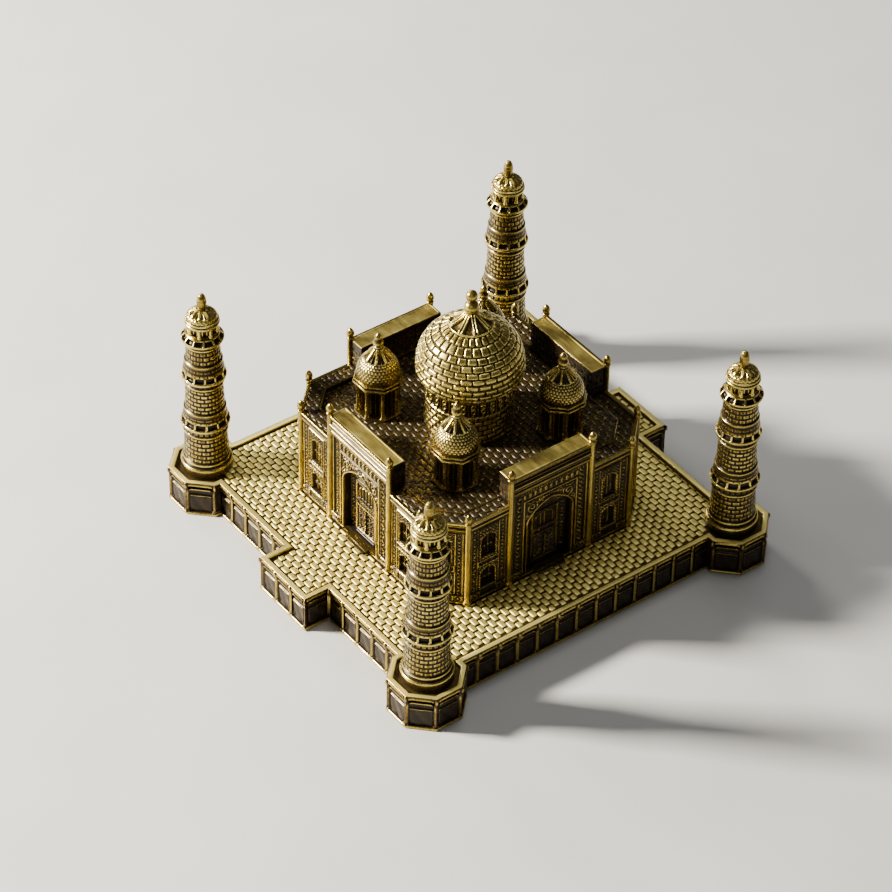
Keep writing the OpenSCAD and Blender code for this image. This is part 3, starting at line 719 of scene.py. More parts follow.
def make_hall(material, roof_material):
    shape = Shape()
    outline = hall_outline()
    wing = HALL_CORNER - PORTAL_HALF
    folds = [(0.3, HALL_TOP - 0.06), (0.2, HALL_TOP), (-0.7, HALL_TOP), (-0.7, HALL_TOP - 0.6)]
    for i, (length, place) in enumerate(walls_of(outline)):
        spans = [(0, wing), (length - wing, length)] if i % 2 == 0 else [(0, length)]
        for start, end in spans:
            relief(shape, place, (start, end), (DECK_Z - 0.4, HALL_TOP - 0.15),
                   wing_relief((start + end) / 2, (end - start) / 2), 0.17, tops=folds, dark=-0.02)
    for corner in outline:
        post(shape, corner, *CORNER_POST)
    # Border round the roof, with its own bricks
    base = HALL_TOP - ROOF_JOINT
    sweep(shape, outline, [(-0.6, base), (-PORTAL_DEPTH, base)], [-1, -1])
    sweep(shape, outline, [(-PORTAL_DEPTH + 0.5, HALL_TOP), (-PORTAL_DEPTH + 0.1, HALL_TOP),
                           (-PORTAL_DEPTH, HALL_TOP - 0.1), (-PORTAL_DEPTH, ROOF_Z - 0.4)],
          [0.5, 0.7, 0.3, -0.9])
    inner = hall_outline(PORTAL_DEPTH - 0.5)
    edge = hall_outline(0.6)
    blocks = [portal_plan(turn) for turn in QUARTERS]

    def keep(polygon):
        polygon = clip_in(polygon, edge)
        if len(polygon) < 3:
            return polygon
        middle = polygon.mean(0)
        for block in [inner] + blocks:
            beyond = past_sides(middle, block)
            if beyond < -0.6:
                return polygon[:0]
            if beyond < 2.5:
                polygon = clip_out(polygon, block)
                if len(polygon) < 3:
                    return polygon
        return polygon

    brickwork(shape, BRICK_ROOF, HALL_HALF, keep, base, HALL_TOP)
    place_cast("hall_body_cast", shape, material, "hall_body", "dark_brass")

    shape = Shape()
    floor = hall_outline(PORTAL_DEPTH)
    base = ROOF_Z - ROOF_JOINT
    bed(shape, floor, base)

    def on_roof(polygon):
        return polygon[:0] if np.hypot(*polygon.mean(0)) < UNDER_DRUM else clip_in(polygon, floor)

    brickwork(shape, BRICK_ROOF, HALL_HALF, on_roof, base, ROOF_Z)
    place_cast("roof_bricks", shape, roof_material, "roof_plate", "dark_brass", 60)


# ---------------------------------------------------------------- portals

def spiral(centre, radius, turns, start, hand):
    """Points of a scroll that winds inwards from an angle, anticlockwise where hand is 1."""
    t = np.linspace(0, 1, 18)
    angle = start + hand * turns * 2 * np.pi * t
    r = radius * (1 - 0.82 * t)
    return np.stack([centre[0] + r * np.cos(angle), centre[1] + r * np.sin(angle)], 1)


def portal_relief(u, z):
    """Front of a portal: carved frame round an arched niche with a door and a window in it."""
    z = z - DECK_Z
    half, spring, rise = NICHE
    au = np.abs(u)
    out = carve(0.0 * u, inside(rectangle(u, z, 11.6, 2.6, 29.2)), -0.55)
    # Raised door frame with a strip of carving up each side and a wider one across the top
    out = carve(out, inside(rectangle(u, z, 9.6, 0, 28.9), 0.25), -0.15)
    side = np.maximum(np.abs(au - 10.1) - 0.75, np.abs(z - 15.6) - 12.9)
    out = out + 0.42 * inside(side, 0.2) * foliage(au - 9.4, z, 1.4)
    top = rectangle(u, z, 9.3, 26.5, 28.7)
    leaf = np.abs((u / 1.7 + 0.5) % 1 - 0.5) * 1.7
    leaves = inside(np.hypot(leaf * 1.5, (z - 27.4) * 0.72) - 0.72, 0.35)
    out = out + inside(top, 0.2) * (0.5 * np.maximum(leaves, foliage(u, z, 0.85) * 0.8) - 0.15)
    out = out + 0.3 * inside(np.abs(rectangle(u, z, 8.55, -2, 25.7)) - 0.28, 0.25)
    # Spandrels: two pairs of scrolls over the arch
    panel = inside(rectangle(u, z, 8.1, 0.8, 25.2), 0.25)
    out = carve(out, panel, -0.42)
    opening = arch(u, z, half, spring, rise)
    scrolls = [spiral((5.9, 22.7), 1.9, 1.5, 2.4, 1), spiral((3.1, 24.2), 0.95, 1.2, 3.4, -1),
               spiral((7.1, 19.9), 1.0, 1.2, 1.2, -1), np.array([[1.0, 24.5], [2.2, 24.4], [4.2, 23.7]]),
               np.array([[7.3, 24.7], [6.6, 24.3], [5.2, 24.6]])]
    ridge = np.min([path_distance(au, z, line) for line in scrolls], 0)
    above = inside(0.75 - opening, 0.2) * ramp(z, 17.6, 0.6)
    ornament = np.maximum(inside(ridge - 0.22, 0.25), 0.85 * foliage(au, z, 0.95) * ramp(ridge, 0.5, 0.2))
    out = out + 0.42 * panel * above * ornament
    out = carve(out, panel * inside(np.abs(opening - 0.4) - 0.3, 0.25), 0.15)
    # Niche
    hole = np.maximum(opening, 0.8 - z)
    back = 0.4 * inside(np.abs(au - 5.75) - 0.65, 0.2) * foliage(au - 5.15, z, 1.2)
    back = back + 0.55 * inside(np.maximum(np.abs(au - 4.1) - 0.42, z - 17.6), 0.25)
    back = back + 0.4 * inside(np.maximum(np.abs(au - 6.75) - 0.18, z - 30), 0.2)
    for z0, z1, proud in ((0.8, 1.9, 0.6), (10.1, 10.6, 0.6), (12.0, 12.5, 0.6), (17.4, 17.9, 0.5)):
        back = np.maximum(back, proud * inside(np.maximum(strip(z, z0, z1), au - 4.4), 0.25))
    back = back + 0.42 * inside(rectangle(u, z, 3.9, 10.7, 11.9), 0.2) * foliage(u, z - 10.7, 1.2)
    door = inside(rectangle(u, z, 3.7, 2.0, 9.9), 0.2)
    diagonal = np.minimum(np.abs((u + z) % 1.5 - 0.75), np.abs((u - z) % 1.5 - 0.75))
    knots = np.hypot((u + 0.75) % 1.5 - 0.75, (z + 0.75) % 1.5 - 0.75)
    back = back + 0.4 * door * np.maximum(inside(diagonal - 0.14, 0.25), inside(knots - 0.3, 0.25))
    back = back + 0.5 * inside(au - 0.22, 0.2) * door
    upper = arch(u, z - 12.5, 3.2, 2.9, 1.7)
    back = back + 0.35 * inside(np.abs(np.maximum(upper, 12.5 - z)) - 0.2, 0.25)
    bars = np.abs((u + 0.65) % 1.3 - 0.65)
    back = back + 0.35 * inside(np.maximum(upper, 12.5 - z), 0.2) * inside(bars - 0.17, 0.25)
    fan = np.abs((np.arctan2(u, z - 18.2) * 4) % 1 - 0.5) - 0.18
    back = back + 0.25 * inside(fan, 0.3) * ramp(z, 18.3, 0.3) * inside(opening + 0.5, 0.3)
    out = carve(out, inside(hole), -2.5 + back)
    # Dado, base course and the mouldings across the head
    dado = np.maximum(np.abs(z - 1.7) - 0.85, np.abs(au - 10.6) - 1.9)
    floret = np.hypot(np.abs(au - 10.6) - 0.95, z - 1.7)
    out = out + inside(dado, 0.25) * (0.35 - 0.25 * inside(np.abs(floret - 0.45) - 0.12, 0.2))
    out = carve(out, inside(np.maximum(z - 0.7, 4.2 - au), 0.3), 0.35)
    out = carve(out, inside(np.abs(z - 33.65) - 0.5, 0.25), -0.55)
    return mouldings(out, z, [(29.4, 30.4, 0.4), (31.1, 32.5, 0.62), (34.2, 36, 0.5)])


def side_relief(u, z):
    """Plain sides and back of a portal: shallow bricks under a smooth band."""
    z = z - DECK_Z
    wallwork = bricks(u, z, BRICK_ROOF[0], np.arange(-1, 22) * BRICK_ROOF[1], joint=0.12, salt=3)
    return 0.16 * (wallwork - 1) * inside(z - 33.4, 0.3)


def make_portals(material, slab_material):
    y0 = -HALL_HALF
    top = DECK_Z + PORTAL_H
    for name, turn in SIDES.items():
        shape = Shape()
        plan = portal_plan(turn)
        for i in range(4):
            length, place = wall(plan[i], plan[(i + 1) % 4])
            if i == 0:
                # Painted light: dark below 0 lifts the whole portal front a little brighter, standing for
                # the light that falls into its niche
                relief(shape, place, (0, length), (DECK_Z - 0.4, top - 0.1),
                       lambda u, z: portal_relief(u - PORTAL_HALF, z), 0.14,
                       tops=[(0.42, top - 0.02), (0.3, top), (-0.2, top)], dark=-0.05)
            else:
                relief(shape, place, (0, length), (DECK_Z + 24, top - 0.12), side_relief, 0.22,
                       tops=[(-0.04, top - 0.03), (-0.12, top), (-0.2, top)], dark=0.25)
        for x in (-PORTAL_HALF, PORTAL_HALF):
            post(shape, turn_plan([(x, y0)], turn)[0], *PORTAL_POST)
        # Two doorsteps: half the width, front, back and height
        for half, front, back, height in ((4.6, 1.2, 0.5, 0.8), (4.2, 2.1, 0, 0.4)):
            step = turn_plan(box_outline(-half, half, y0 - front, y0 + back), turn)
            slab(shape, step, DECK_Z - 0.4, DECK_Z + height)
        place_cast("portal_cast_" + name, shape, material, "portal_" + name, "dark_brass")
        shape = Shape()
        sweep(shape, plan, [(-0.15, top - 0.05), (-0.15, top + 0.02), (-0.22, top + 0.05),
                            (-0.5, top + 0.05), (-0.58, top), (-0.6, top - 0.05)],
              [0.9, 0.9, 0.9, 0.8, 0.2, 0.3], top=True)
        place_cast("portal_slab_" + name, shape, slab_material, None, "antique_brass", 30)


# ---------------------------------------------------------------- drum, dome and finial

def drum_detail(angle, z, _):
    brick = 2 * np.pi * DRUM_R / DRUM_BRICKS
    course = bricks(angle * DRUM_R, z, brick, 0.9 * np.arange(-1, 12) * 1.8, salt=5)
    out = 0.3 * (course - 1) * inside(z - 9.3, 0.3)
    # A sunken band with pairs of stacked rings on stems, parted by thin bars
    u = np.abs(turn_share(angle, DRUM_BRICKS)) * brick
    band = inside(np.abs(z - 11.75) - 2.2, 0.25)
    upper, lower = (np.abs(np.hypot(u, (z - middle) * 0.8) - 0.5) for middle in (13.0, 11.5))
    knot = np.minimum(np.minimum(upper, lower), np.maximum(u, np.abs(z - 10.2) - 0.55))
    bar = brick / 2 - u
    return out + band * (0.5 * inside(knot - 0.19, 0.25) + 0.28 * inside(bar - 0.14, 0.2) - 0.5)


def dome_bricks(profile):
    """Bricks whose joints keep one width although the rows get shorter towards the crown."""
    travel = travel_along(profile)
    row_heights = [1.65] * 6 + [1.85, 2.0, 2.1, 2.85, 2.7]
    row_edges = np.concatenate([[0], np.cumsum(row_heights)])
    rows = row_edges * travel[-1] / row_edges[-1]

    def detail(angle, _, s):
        radius = np.interp(s, travel, profile[:, 0])
        row = np.clip(np.searchsorted(rows, s, side="right") - 1, 0, len(rows) - 2)
        length = 2 * np.pi * radius / DOME_BRICKS
        place = angle * DOME_BRICKS / (2 * np.pi) + 0.5 * (row % 2)
        number = np.floor(place).astype(int)
        du = (0.5 - np.abs(place - number - 0.5)) * length
        dv = np.minimum(s - rows[row], rows[row + 1] - s)
        jitter = np.random.default_rng(9).uniform(-1, 1, (len(rows), DOME_BRICKS, 3))
        jitter = jitter[row, number % DOME_BRICKS]
        tilt = jitter[..., 1] * (place - number - 0.5) * 0.12
        return 0.4 * (cushion(du, dv, 0.13, 0.42) - 1) + 0.03 * jitter[..., 0] + tilt
    return detail


def crown_detail(angle, z, _):
    """Eight petals: dark hollows, each with a bright outline, that lean together at the top."""
    radius = np.interp(z, [0.4, 3.5], [5.6, 1.6])
    half = np.pi * radius / 8
    edge = half - np.abs(turn_share(angle, 8, 0.5)) * 2 * half
    ridge = inside(np.abs(edge - 0.42) - 0.26, 0.3)
    hollow = inside(0.75 - edge, 0.3)
    return (0.42 * ridge - 0.45 * hollow) * ramp(z, 0.55, 0.3) * inside(z - 3.7, 0.5)


def make_dome(material):
    shape = Shape()
    height = DRUM_TOP - ROOF_Z
    turned(shape, [(DRUM_R, -0.2), (DRUM_R, height - 0.3), (DRUM_R + 0.1, height)],
           drum_detail, 560, 0.15, lift=ROOF_Z)
    place_cast("drum_cast", shape, material, "drum", "antique_brass")
    shape = Shape()
    profile = onion(12, DOME_R, 3.3, 5.8, DOME_TOP - DRUM_TOP, (0.61, 0.56, 0.78))
    turned(shape, profile, dome_bricks(profile), 520, 0.14, lift=DRUM_TOP)
    place_cast("dome_cast", shape, material, "dome", "antique_brass")
    shape = Shape()
    profile = [(5.0, -0.15), (5.9, -0.1), (6.0, 0.1), (5.9, 0.4), (5.5, 0.5), (4.3, 1.2), (3.1, 2.0),
               (2.2, 2.7), (1.5, 3.4), (1.1, 3.6)]
    # Two balls on the spike: radius, height, and where each arc starts
    for r, z, start, count in ((2, 5.5, 0.42, 14), (1.6, 9.1, 0.65, 12)):
        profile += [(r * math.sin(t), z - r * math.cos(t)) for t in np.linspace(start, 2.75, count)]
    profile += [(0.25, FINIAL_H - 0.1), (0, FINIAL_H)]
    turned(shape, profile, crown_detail, 200, 0.13, lift=DOME_TOP)
    place_cast("dome_crown", shape, material, "dome_finial", "antique_brass")


# ---------------------------------------------------------------- kiosks

def scales(angle, s, count, pitch, radius):
    """Overlapping fish scales, as a height from 0 to 1."""
    row = np.floor(s / pitch)
    u = turn_share(angle, count, 0.5 * (row % 2)) * 2
    tip = np.hypot(u, (s / pitch - row) * 0.9)
    return np.clip(1.15 - tip, 0, 1) * inside(tip - 0.95, 0.5 / radius)


def cupola_detail(foot, neck, ribs_from, count, pitch, wide, depth=0.17):
    """Fine scales, and above them eight ribs with dark hollows between that meet at the neck."""
    def detail(angle, z, s):
        flakes = scales(angle, s, count, pitch, wide) - 0.6
        share = np.clip((z - ribs_from) / (neck - ribs_from), 0, 1)
        half = np.pi * wide * (1 - 0.75 * share) / 8
        u = np.abs(turn_share(angle, 8, 0.5)) * 2 * half
        rib = inside(u - 0.36, 0.3)
        hollow = inside(0.62 - u, 0.25) * inside(u - half + 0.12, 0.2)
        upper = ramp(z, ribs_from, 0.5) * inside(z - neck, 0.4)
        body = ramp(z, foot, 0.4) * inside(z - ribs_from, 0.4)
        return body * depth * flakes + upper * depth * (1.5 * rib - 2.5 * hollow)
    return detail


def make_kiosks(material, cap_material):
    shape = Shape()
    slab(shape, octagon(6.0), -0.2, 0.6)
    middle, reach = 0.5 * EAVE_Z - 0.3, 0.5 * EAVE_Z - 1

    def core(u, z):
        panel = np.abs(u - 1.86)
        out = -0.7 * inside(np.maximum(panel - 0.95, np.abs(z - middle) - reach - 0.3), 0.3)
        return out + 0.35 * inside(panel - 0.2, 0.25) * inside(np.abs(z - middle) - reach, 0.3)

    for length, place in walls_of(octagon(4.5)):
        relief(shape, place, (0, length), (0.5, EAVE_Z + 0.1), core, 0.2, dark=0.3)
    for corner in octagon(5.45 * math.cos(math.pi / 8)):
        turned(shape, [(0.75, 0.5), (0.75, 0.9), (0.5, 1.1), (0.46, 4.5), (0.5, EAVE_Z - 1.1),
                       (0.75, EAVE_Z - 0.8), (0.75, EAVE_Z + 0.1)], None, 16, 0.3, 0, corner)
    eave = [(-1.9, -0.1), (-0.1, -0.15), (0, 0), (0, 0.4), (-0.12, 0.55), (-0.55, 0.62), (-0.6, 0.85),
            (-0.35, 0.95), (-0.3, 1.1), (-0.3, 1.35), (-0.42, 1.5), (-1.2, 1.52)]
    sweep(shape, octagon(6.4), [(out, EAVE_Z + z) for out, z in eave],
          [-0.8, 0.2, 0.9, 0.9, 0.7, -0.8, -0.8, 0.3, 0.9, 0.9, 0.8, 0.3], top=True)
    body = shape.build("kiosk_cast", material, 40)
    shape = Shape()
    line = onion(5.4, 5.76, 1.6, 1, 9.1, (0.42, 0.36, 0.68))
    bud = [(1.15, 9.3), (1.15, 9.5), (0.85, 9.7), (1.25, 10.0), (1.47, 10.5), (1.38, 11.0), (1.1, 11.5),
           (1.0, 11.8), (1.06, 12.2), (0.98, 12.7), (0.7, 13.2), (0.35, 13.6), (0, 13.8)]
    turned(shape, [(5.4, -0.02)] + [tuple(p) for p in line] + bud,
           cupola_detail(0.4, 9.0, 6.0, 34, 0.8, 5.2), 300, 0.13)
    dome = shape.build("kiosk_cupola", cap_material, 62)
    place_on_corners(KIOSK_AT, ("kiosk_cast", body, "kiosk", "dark_brass", ROOF_Z),
                     ("kiosk_cupola", dome, "kiosk_dome", "antique_brass", KIOSK_DOME_Z))


# ---------------------------------------------------------------- minarets

MINARET_PROFILE = [
    (7, -0.2), (7, 2.4), (6.85, 2.7), (6.5, 2.9), (6.15, 3), (6.15, 3.4), (6.4, 3.6), (6.4, 4.15),
    (6.1, 4.4), (5.8, 12.9), (6.15, 13), (6.15, 13.5), (5.85, 13.7), (5.95, 15.2),
    (6.45, 15.3), (6.67, 15.6), (6.67, 16.1), (6.45, 16.4), (5.65, 19.8), (5.75, 20),
    (5.75, 20.8), (5.4, 21.0), (5.05, 28.9), (5.4, 29), (5.4, 29.5), (5.1, 29.7),
    (5.3, 30.8), (5.9, 30.9), (6.1, 31.2), (6.1, 31.7), (5.9, 32), (5.1, 36), (5.2, 36.2),
    (5.2, 36.9), (4.85, 37.1), (4.55, 41.8), (4.85, 41.9), (4.85, 42.4), (4.6, 42.6),
    (4.9, 43.3), (5.5, 43.4), (5.72, 43.7), (5.72, 44.2), (5.5, 44.5), (4.5, 45.6), (3.9, 46.1),
    (3.4, 46.1),
]
# Foot, head, number of rows and mean radius of each bricked shaft
SHAFTS = [(4.5, 12.8, 6, 5.95), (21.1, 28.8, 6, 5.2), (37.2, 41.7, 3, 4.7)]
# Foot and head of each railing, head of the skirt over it, and their radius
BALCONIES = [(16.4, 17.7, 19.6, 6.2), (32.0, 33.3, 35.9, 5.6), (44.4, 45.3, 45.5, 5.3)]
SHAFT_BRICKS = 16
RAILING_OPENINGS = 12
BUD_H = 5.2


def minaret_detail(angle, z, _):
    """Bricked shafts, railings with dark openings, bricked skirts and fluted bands."""
    out = 0.0 * z
    for z0, z1, rows, radius in SHAFTS:
        edges = np.linspace(z0, z1, rows + 1)
        work = bricks(angle * radius, z, 2 * np.pi * radius / SHAFT_BRICKS, edges, 0.15, 0.36, int(z0))
        out = out + 0.17 * (work - 1) * inside(strip(z, z0, z1), 0.2)
    for z0, z1, z2, radius in BALCONIES:
        half = np.pi * radius / RAILING_OPENINGS
        u = np.abs(turn_share(angle, RAILING_OPENINGS)) * 2 * half
        out = carve(out, inside(np.maximum(u - half + 0.36, strip(z, z0, z1))), -0.85)
        edges = [z1 + 0.2, (z1 + z2) / 2 + 0.1, z2 + 0.01]
        skirt = bricks(angle * radius, z, 2 * np.pi * radius / SHAFT_BRICKS, edges, 0.12, 0.35, int(z1))
        out = out + 0.1 * (skirt - 1) * inside(strip(z, z1 + 0.2, z2), 0.2)
    # Plain band under each balcony, with shallow upright flutes
    flute = inside(np.abs(turn_share(angle, 24)) - 0.2, 0.15)
    for z0, z1 in ((13.8, 15.1), (29.8, 30.7), (42.7, 43.2)):
        out = out - 0.2 * flute * inside(strip(z, z0, z1), 0.2)
    return out


def lantern_detail(angle, *_):
    return 0.25 * inside(np.abs(turn_share(angle, 16)) - 0.2, 0.2)


def make_minarets(material, cap_material):
    shape = Shape()
    turned(shape, MINARET_PROFILE, minaret_detail, 256, 0.165)
    top = CAP_Z - DECK_Z
    # Lantern: a fluted core in a ring of eight columns
    turned(shape, [(3.1, 45.8), (3.1, top + 0.1)], lantern_detail, 160, 0.3)
    column = [(0.6, 45.9), (0.6, 46.3), (0.42, 46.5), (0.42, top - 0.5), (0.6, top - 0.3), (0.6, top + 0.1)]
    for turn in np.radians(45 * np.arange(8)):
        turned(shape, column, None, 14, 0.3, 0, (3.85 * math.cos(turn), 3.85 * math.sin(turn)))
    tower = shape.build("minaret_cast", material, 62)
    shape = Shape()
    neck = CAP_H - BUD_H
    eave = [(3.2, -0.05), (4.55, -0.05), (4.67, 0.08), (4.67, 0.48), (4.55, 0.6), (4.3, 0.65), (4.3, 0.9),
            (4.45, 0.95), (4.5, 1.1), (4.5, 1.3), (4.35, 1.42)]
    cupola = [(r, z + 1.45) for r, z in onion(4.05, 4.1, 0.5, 1.1, neck - 1.3, (0.44, 0.42, 0.72))]
    bud = [(0.85, 0.15), (1.1, 0.5), (1.3, 1.6), (1.35, 2.6), (1.2, 3.9), (0.8, 4.8), (0.3, 5.15),
           (0, BUD_H)]
    turned(shape, eave + cupola + [(r, neck + z) for r, z in bud],
           cupola_detail(1.5, neck + 0.1, neck - 0.9, 22, 0.75, 4.0, 0.12), 240, 0.12)
    cap = shape.build("minaret_cupola", cap_material, 62)
    place_on_corners(MINARET_AT, ("minaret_cast", tower, "minaret", "antique_brass", DECK_Z),
                     ("minaret_cupola", cap, "minaret_cap", "antique_brass", CAP_Z))


# ---------------------------------------------------------------- materials

class Nodes:
    """Short calls for a material's node tree, whose places are in millimetres."""

    def __init__(self, name):
        self.material = bpy.data.materials.new(name)
        self.material.use_nodes = True
        self.tree = self.material.node_tree
        self.shader = self.tree.nodes["Principled BSDF"]
        coordinates = self.tree.nodes.new("ShaderNodeTexCoord").outputs["Object"]
        self.place = self.add("ShaderNodeVectorMath", {0: coordinates, 1: (1000, 1000, 1000)},
                              operation="MULTIPLY").outputs[0]

    def add(self, kind, inputs=None, **settings):
        node = self.tree.nodes.new(kind)
        for key, value in settings.items():
            setattr(node, key, value)
        for key, value in (inputs or {}).items():
            if isinstance(value, bpy.types.NodeSocket):
                self.tree.links.new(value, node.inputs[key])
            else:
                node.inputs[key].default_value = value
        return node

    def noise(self, scale, detail=3.0, rough=0.55, stretch=(1, 1, 1)):
        place = self.add("ShaderNodeVectorMath", {0: self.place, 1: stretch}, operation="MULTIPLY")
        return self.add("ShaderNodeTexNoise", {"Vector": place.outputs[0], "Scale": scale,
                                               "Detail": detail, "Roughness": rough}).outputs[0]

    def math(self, operation, a, b=0.0, clamp=False):
        return self.add("ShaderNodeMath", {0: a, 1: b}, operation=operation, use_clamp=clamp).outputs[0]

    def mapped(self, value, low, high, to_low=0.0, to_high=1.0):
        return self.add("ShaderNodeMapRange", {"Value": value, "From Min": low, "From Max": high,
                                               "To Min": to_low, "To Max": to_high}).outputs[0]

    def worn(self, gain, base):
        """The mesh's wear times gain, plus base."""
        wear = self.add("ShaderNodeAttribute", attribute_name="wear").outputs["Fac"]
        return self.add("ShaderNodeMath", {0: wear, 1: gain, 2: base}, operation="MULTIPLY_ADD").outputs[0]

    def vary(self, value, noise, amount, clamp=False):
        """A value that a noise shifts up and down by up to about an amount."""
        return self.math("ADD", value, self.mapped(noise, 0.3, 0.7, -amount, amount), clamp)

    def colours(self, value, stops):
        ramp_node = self.add("ShaderNodeValToRGB", {0: value})
        elements = ramp_node.color_ramp.elements
        while len(elements) < len(stops):
            elements.new(0.5)
        for element, (place, colour) in zip(elements, stops):
            element.position = place
            element.color = (*colour, 1)
        return ramp_node.outputs[0]

    def connect(self, socket, name):
        self.tree.links.new(socket, self.shader.inputs[name])

    def bump(self, height, strength, distance):
        node = self.add("ShaderNodeBump", {"Height": height, "Strength": strength, "Distance": distance})
        self.connect(node.outputs[0], "Normal")


def antique(name, tarnish_and_painted_light, rough=0.34, gain=0.36, mid=(0.16, 0.11, 0.026)):
    """Antiqued brass: dark patina in hollows and rubbed metal on edges.

    tarnish from 0 to 1 says how much patina is left on the open surfaces, and below 0 it lightens the metal
    past bare brass, which is painted light. gain says how strongly the wear shows, and mid is the colour
    where metal starts to show through.
    """
    nodes = Nodes(name)
    clouds = nodes.noise(0.22, 4.0, 0.6)
    grain = nodes.noise(3.2, 3.0, 0.6)
    scratches = nodes.noise(1.1, 2.0, 0.5, (0.35, 6.0, 6.0))
    level = nodes.worn(gain, 0.62 - 0.42 * tarnish_and_painted_light)
    level = nodes.vary(level, clouds, 0.09)
    level = nodes.vary(level, grain, 0.08)
    level = nodes.vary(level, scratches, 0.05, clamp=True)
    colour = nodes.colours(level, [(0.0, (0.010, 0.006, 0.003)), (0.3, (0.032, 0.020, 0.007)),
                                   (0.5, mid), (0.7, (0.46, 0.35, 0.080)),
                                   (1.0, (0.86, 0.73, 0.24))])
    nodes.connect(colour, "Base Color")
    nodes.connect(nodes.mapped(level, 0.2, 0.5, 0.3, 1.0), "Metallic")
    nodes.shader.inputs["Specular IOR Level"].default_value = 0.25
    finish = nodes.vary(nodes.mapped(level, 0.1, 0.8, 0.3, rough), grain, 0.06, clamp=True)
    nodes.connect(finish, "Roughness")
    height = nodes.math("ADD", nodes.math("MULTIPLY", grain, 0.6), nodes.math("MULTIPLY", clouds, 1.2))
    height = nodes.math("ADD", height, nodes.math("MULTIPLY", scratches, 0.4))
    nodes.bump(height, 0.35, 0.00006)
    return nodes.material


def brushed(name):
    """Rubbed brass with fine lines along X and a little patina."""
    nodes = Nodes(name)
    lines = nodes.noise(1.0, 3.0, 0.6, (0.3, 0.3, 9.0))
    streaks = nodes.noise(0.9, 4.0, 0.65, (0.2, 0.9, 1))
    clouds = nodes.noise(0.16, 4.0, 0.6)
    level = nodes.vary(nodes.worn(0.22, 0.42), clouds, 0.16)
    level = nodes.vary(level, streaks, 0.1, clamp=True)
    colour = nodes.colours(level, [(0.0, (0.05, 0.036, 0.010)), (0.35, (0.26, 0.19, 0.045)),
                                   (0.6, (0.46, 0.36, 0.090)), (1.0, (0.86, 0.74, 0.26))])
    nodes.connect(colour, "Base Color")
    nodes.shader.inputs["Metallic"].default_value = 1.0
    nodes.connect(nodes.mapped(streaks, 0.3, 0.7, 0.38, 0.52), "Roughness")
    nodes.bump(nodes.math("ADD", lines, streaks), 0.25, 0.00005)
    return nodes.material


def plated_steel(name):
    nodes = Nodes(name)
    grain = nodes.noise(2.5, 4.0, 0.6)
    clouds = nodes.noise(0.25, 3.0, 0.6)
    colour = nodes.colours(clouds, [(0.3, (0.36, 0.37, 0.39)), (0.7, (0.56, 0.57, 0.6))])
    nodes.connect(colour, "Base Color")
    nodes.shader.inputs["Metallic"].default_value = 1.0
    nodes.connect(nodes.mapped(grain, 0.3, 0.7, 0.28, 0.46), "Roughness")
    nodes.bump(grain, 0.3, 0.00004)
    return nodes.material


def felt(name):
    nodes = Nodes(name)
    fibres = nodes.noise(4.0, 6.0, 0.75)
    clumps = nodes.noise(0.7, 3.0, 0.6)
    mixed = nodes.math("ADD", nodes.math("MULTIPLY", fibres, 0.6), nodes.math("MULTIPLY", clumps, 0.4))
    colour = nodes.colours(mixed, [(0.3, (0.012, 0.03, 0.02)), (0.7, (0.04, 0.085, 0.06))])
    nodes.connect(colour, "Base Color")
    nodes.shader.inputs["Roughness"].default_value = 0.95
    nodes.shader.inputs["Sheen Weight"].default_value = 0.4
    nodes.bump(mixed, 0.8, 0.0003)
    return nodes.material


def studio_floor():
    nodes = Nodes("studio_floor")
    colour = nodes.colours(nodes.noise(0.02, 2.0), [(0.3, (0.47, 0.46, 0.44)), (0.7, (0.51, 0.50, 0.48))])
    nodes.connect(colour, "Base Color")
    nodes.shader.inputs["Roughness"].default_value = 0.7
    return nodes.material


# ---------------------------------------------------------------- studio

# Half the side of the floor, in metres
FLOOR_HALF = 3.0


def aim(thing, position, target):
    direction = Vector(target) - Vector(position)
    thing.matrix_world = (Matrix.Translation(position) @
                          direction.to_track_quat("-Z", "Y").to_matrix().to_4x4())


def area_light(name, position, target, size, power, colour=(1, 1, 1)):
    light = bpy.data.lights.new(name, "AREA")
    light.shape = "RECTANGLE"
    light.size, light.size_y = size
    light.energy = power
    light.color = colour
    aim(add_object(name, light), position, target)


def make_studio():
    mesh = bpy.data.meshes.new("studio_floor")
    corners = [(x, y, 0) for x, y in box_outline(-FLOOR_HALF, FLOOR_HALF, -FLOOR_HALF, FLOOR_HALF)]
    mesh.from_pydata(corners, [], [(0, 1, 2, 3)])
    mesh.materials.append(studio_floor())
    floor = add_object("studio_floor", mesh)
    middle = (0, 0, 0.03)
    area_light("key", (-0.56, -0.70, 0.50), middle, (0.14, 0.14), 66.0, (1.0, 0.95, 0.84))
    area_light("window", (-0.95, -0.02, 0.50), middle, (0.24, 0.24), 7.0, (1.0, 0.98, 0.93))
    area_light("top", (-0.10, 0.20, 1.1), middle, (0.4, 0.4), 3.0, (0.97, 0.98, 1.0))
    area_light("fill", (0.70, -0.60, 0.60), middle, (0.5, 0.5), 0.8, (0.96, 0.98, 1.0))
    world = bpy.data.worlds.new("studio")
    bpy.context.scene.world = world
    world.use_nodes = True
    world.node_tree.nodes["Background"].inputs[0].default_value = (1.0, 0.98, 0.95, 1)
    world.node_tree.nodes["Background"].inputs[1].default_value = 0.10


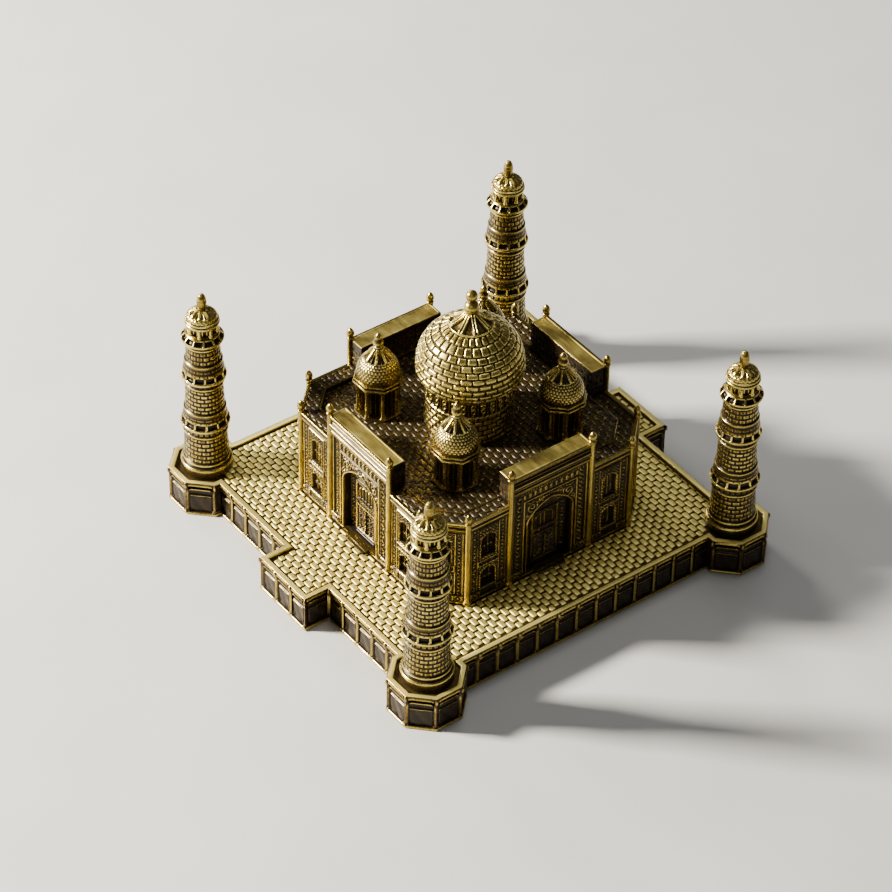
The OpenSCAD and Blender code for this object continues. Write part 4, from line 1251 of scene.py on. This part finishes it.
def make_camera():
    """The viewing angle: azimuth from -Y towards +X, elevation and roll, aimed at the deck."""
    azimuth, elevation, roll = (math.radians(a) for a in (52.8, 40.73, 1.098))
    # Lengths are counted in half distances between the minarets
    unit = MINARET_AT * MM
    target = Vector((-0.362 * unit, 0.127 * unit, DECK_Z * MM))
    back = Vector((math.sin(azimuth) * math.cos(elevation), -math.cos(azimuth) * math.cos(elevation),
                   math.sin(elevation)))
    right = Vector((0, 0, 1)).cross(back).normalized()
    up = back.cross(right)
    x_axis = right * math.cos(roll) + up * math.sin(roll)
    y_axis = up * math.cos(roll) - right * math.sin(roll)
    position = target + back * 20.616 * unit
    camera_data = bpy.data.cameras.new("camera")
    camera_data.sensor_width = 36
    camera_data.lens = 153.7
    camera_data.clip_start, camera_data.clip_end = 0.05, 20
    camera = add_object("camera", camera_data)
    rows = [[x_axis[i], y_axis[i], back[i], position[i]] for i in range(3)]
    camera.matrix_world = Matrix(rows + [[0, 0, 0, 1]])
    bpy.context.scene.camera = camera


# ---------------------------------------------------------------- assembly

bright = antique("antique_brass_bright", 0.14, 0.27, 0.3)
# Painted light: the deck gets a lighter copy of the brass. Its tarnish below 0 brightens it past bare metal
# to stand for the strong light falling on the deck.
deck = antique("antique_brass_deck_painted_light", -0.35, 0.5, 0.4)
shaft = antique("antique_brass_shaft", 0.95, 0.24, 0.56, (0.13, 0.085, 0.014))
cupola = antique("antique_brass_cupola", 0.42, 0.26, 0.55)
wall_metal = antique("antique_brass_wall", 1.05, 0.28, 0.5, (0.15, 0.085, 0.02))
dark = antique("antique_brass_dark", 1.3, 0.2, 0.56)
posts = antique("antique_brass_posts", 0.8, 0.24, 0.42)
roof = antique("antique_brass_roof", 1.05, 0.2)
steel = plated_steel("plated_steel")
pressed_felt = felt("pressed_felt")

make_plinth(deck, wall_metal)
make_hall(dark, roof)
make_portals(dark, brushed("brushed_brass"))
make_dome(bright)
make_kiosks(posts, cupola)
make_minarets(shaft, bright)

for node_name, node_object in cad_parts.items():
    node_object.data.materials.clear()
    node_object.data.materials.append(pressed_felt if node_name == "base_felt" else steel)

make_studio()
make_camera()

bpy.context.view_layer.update()
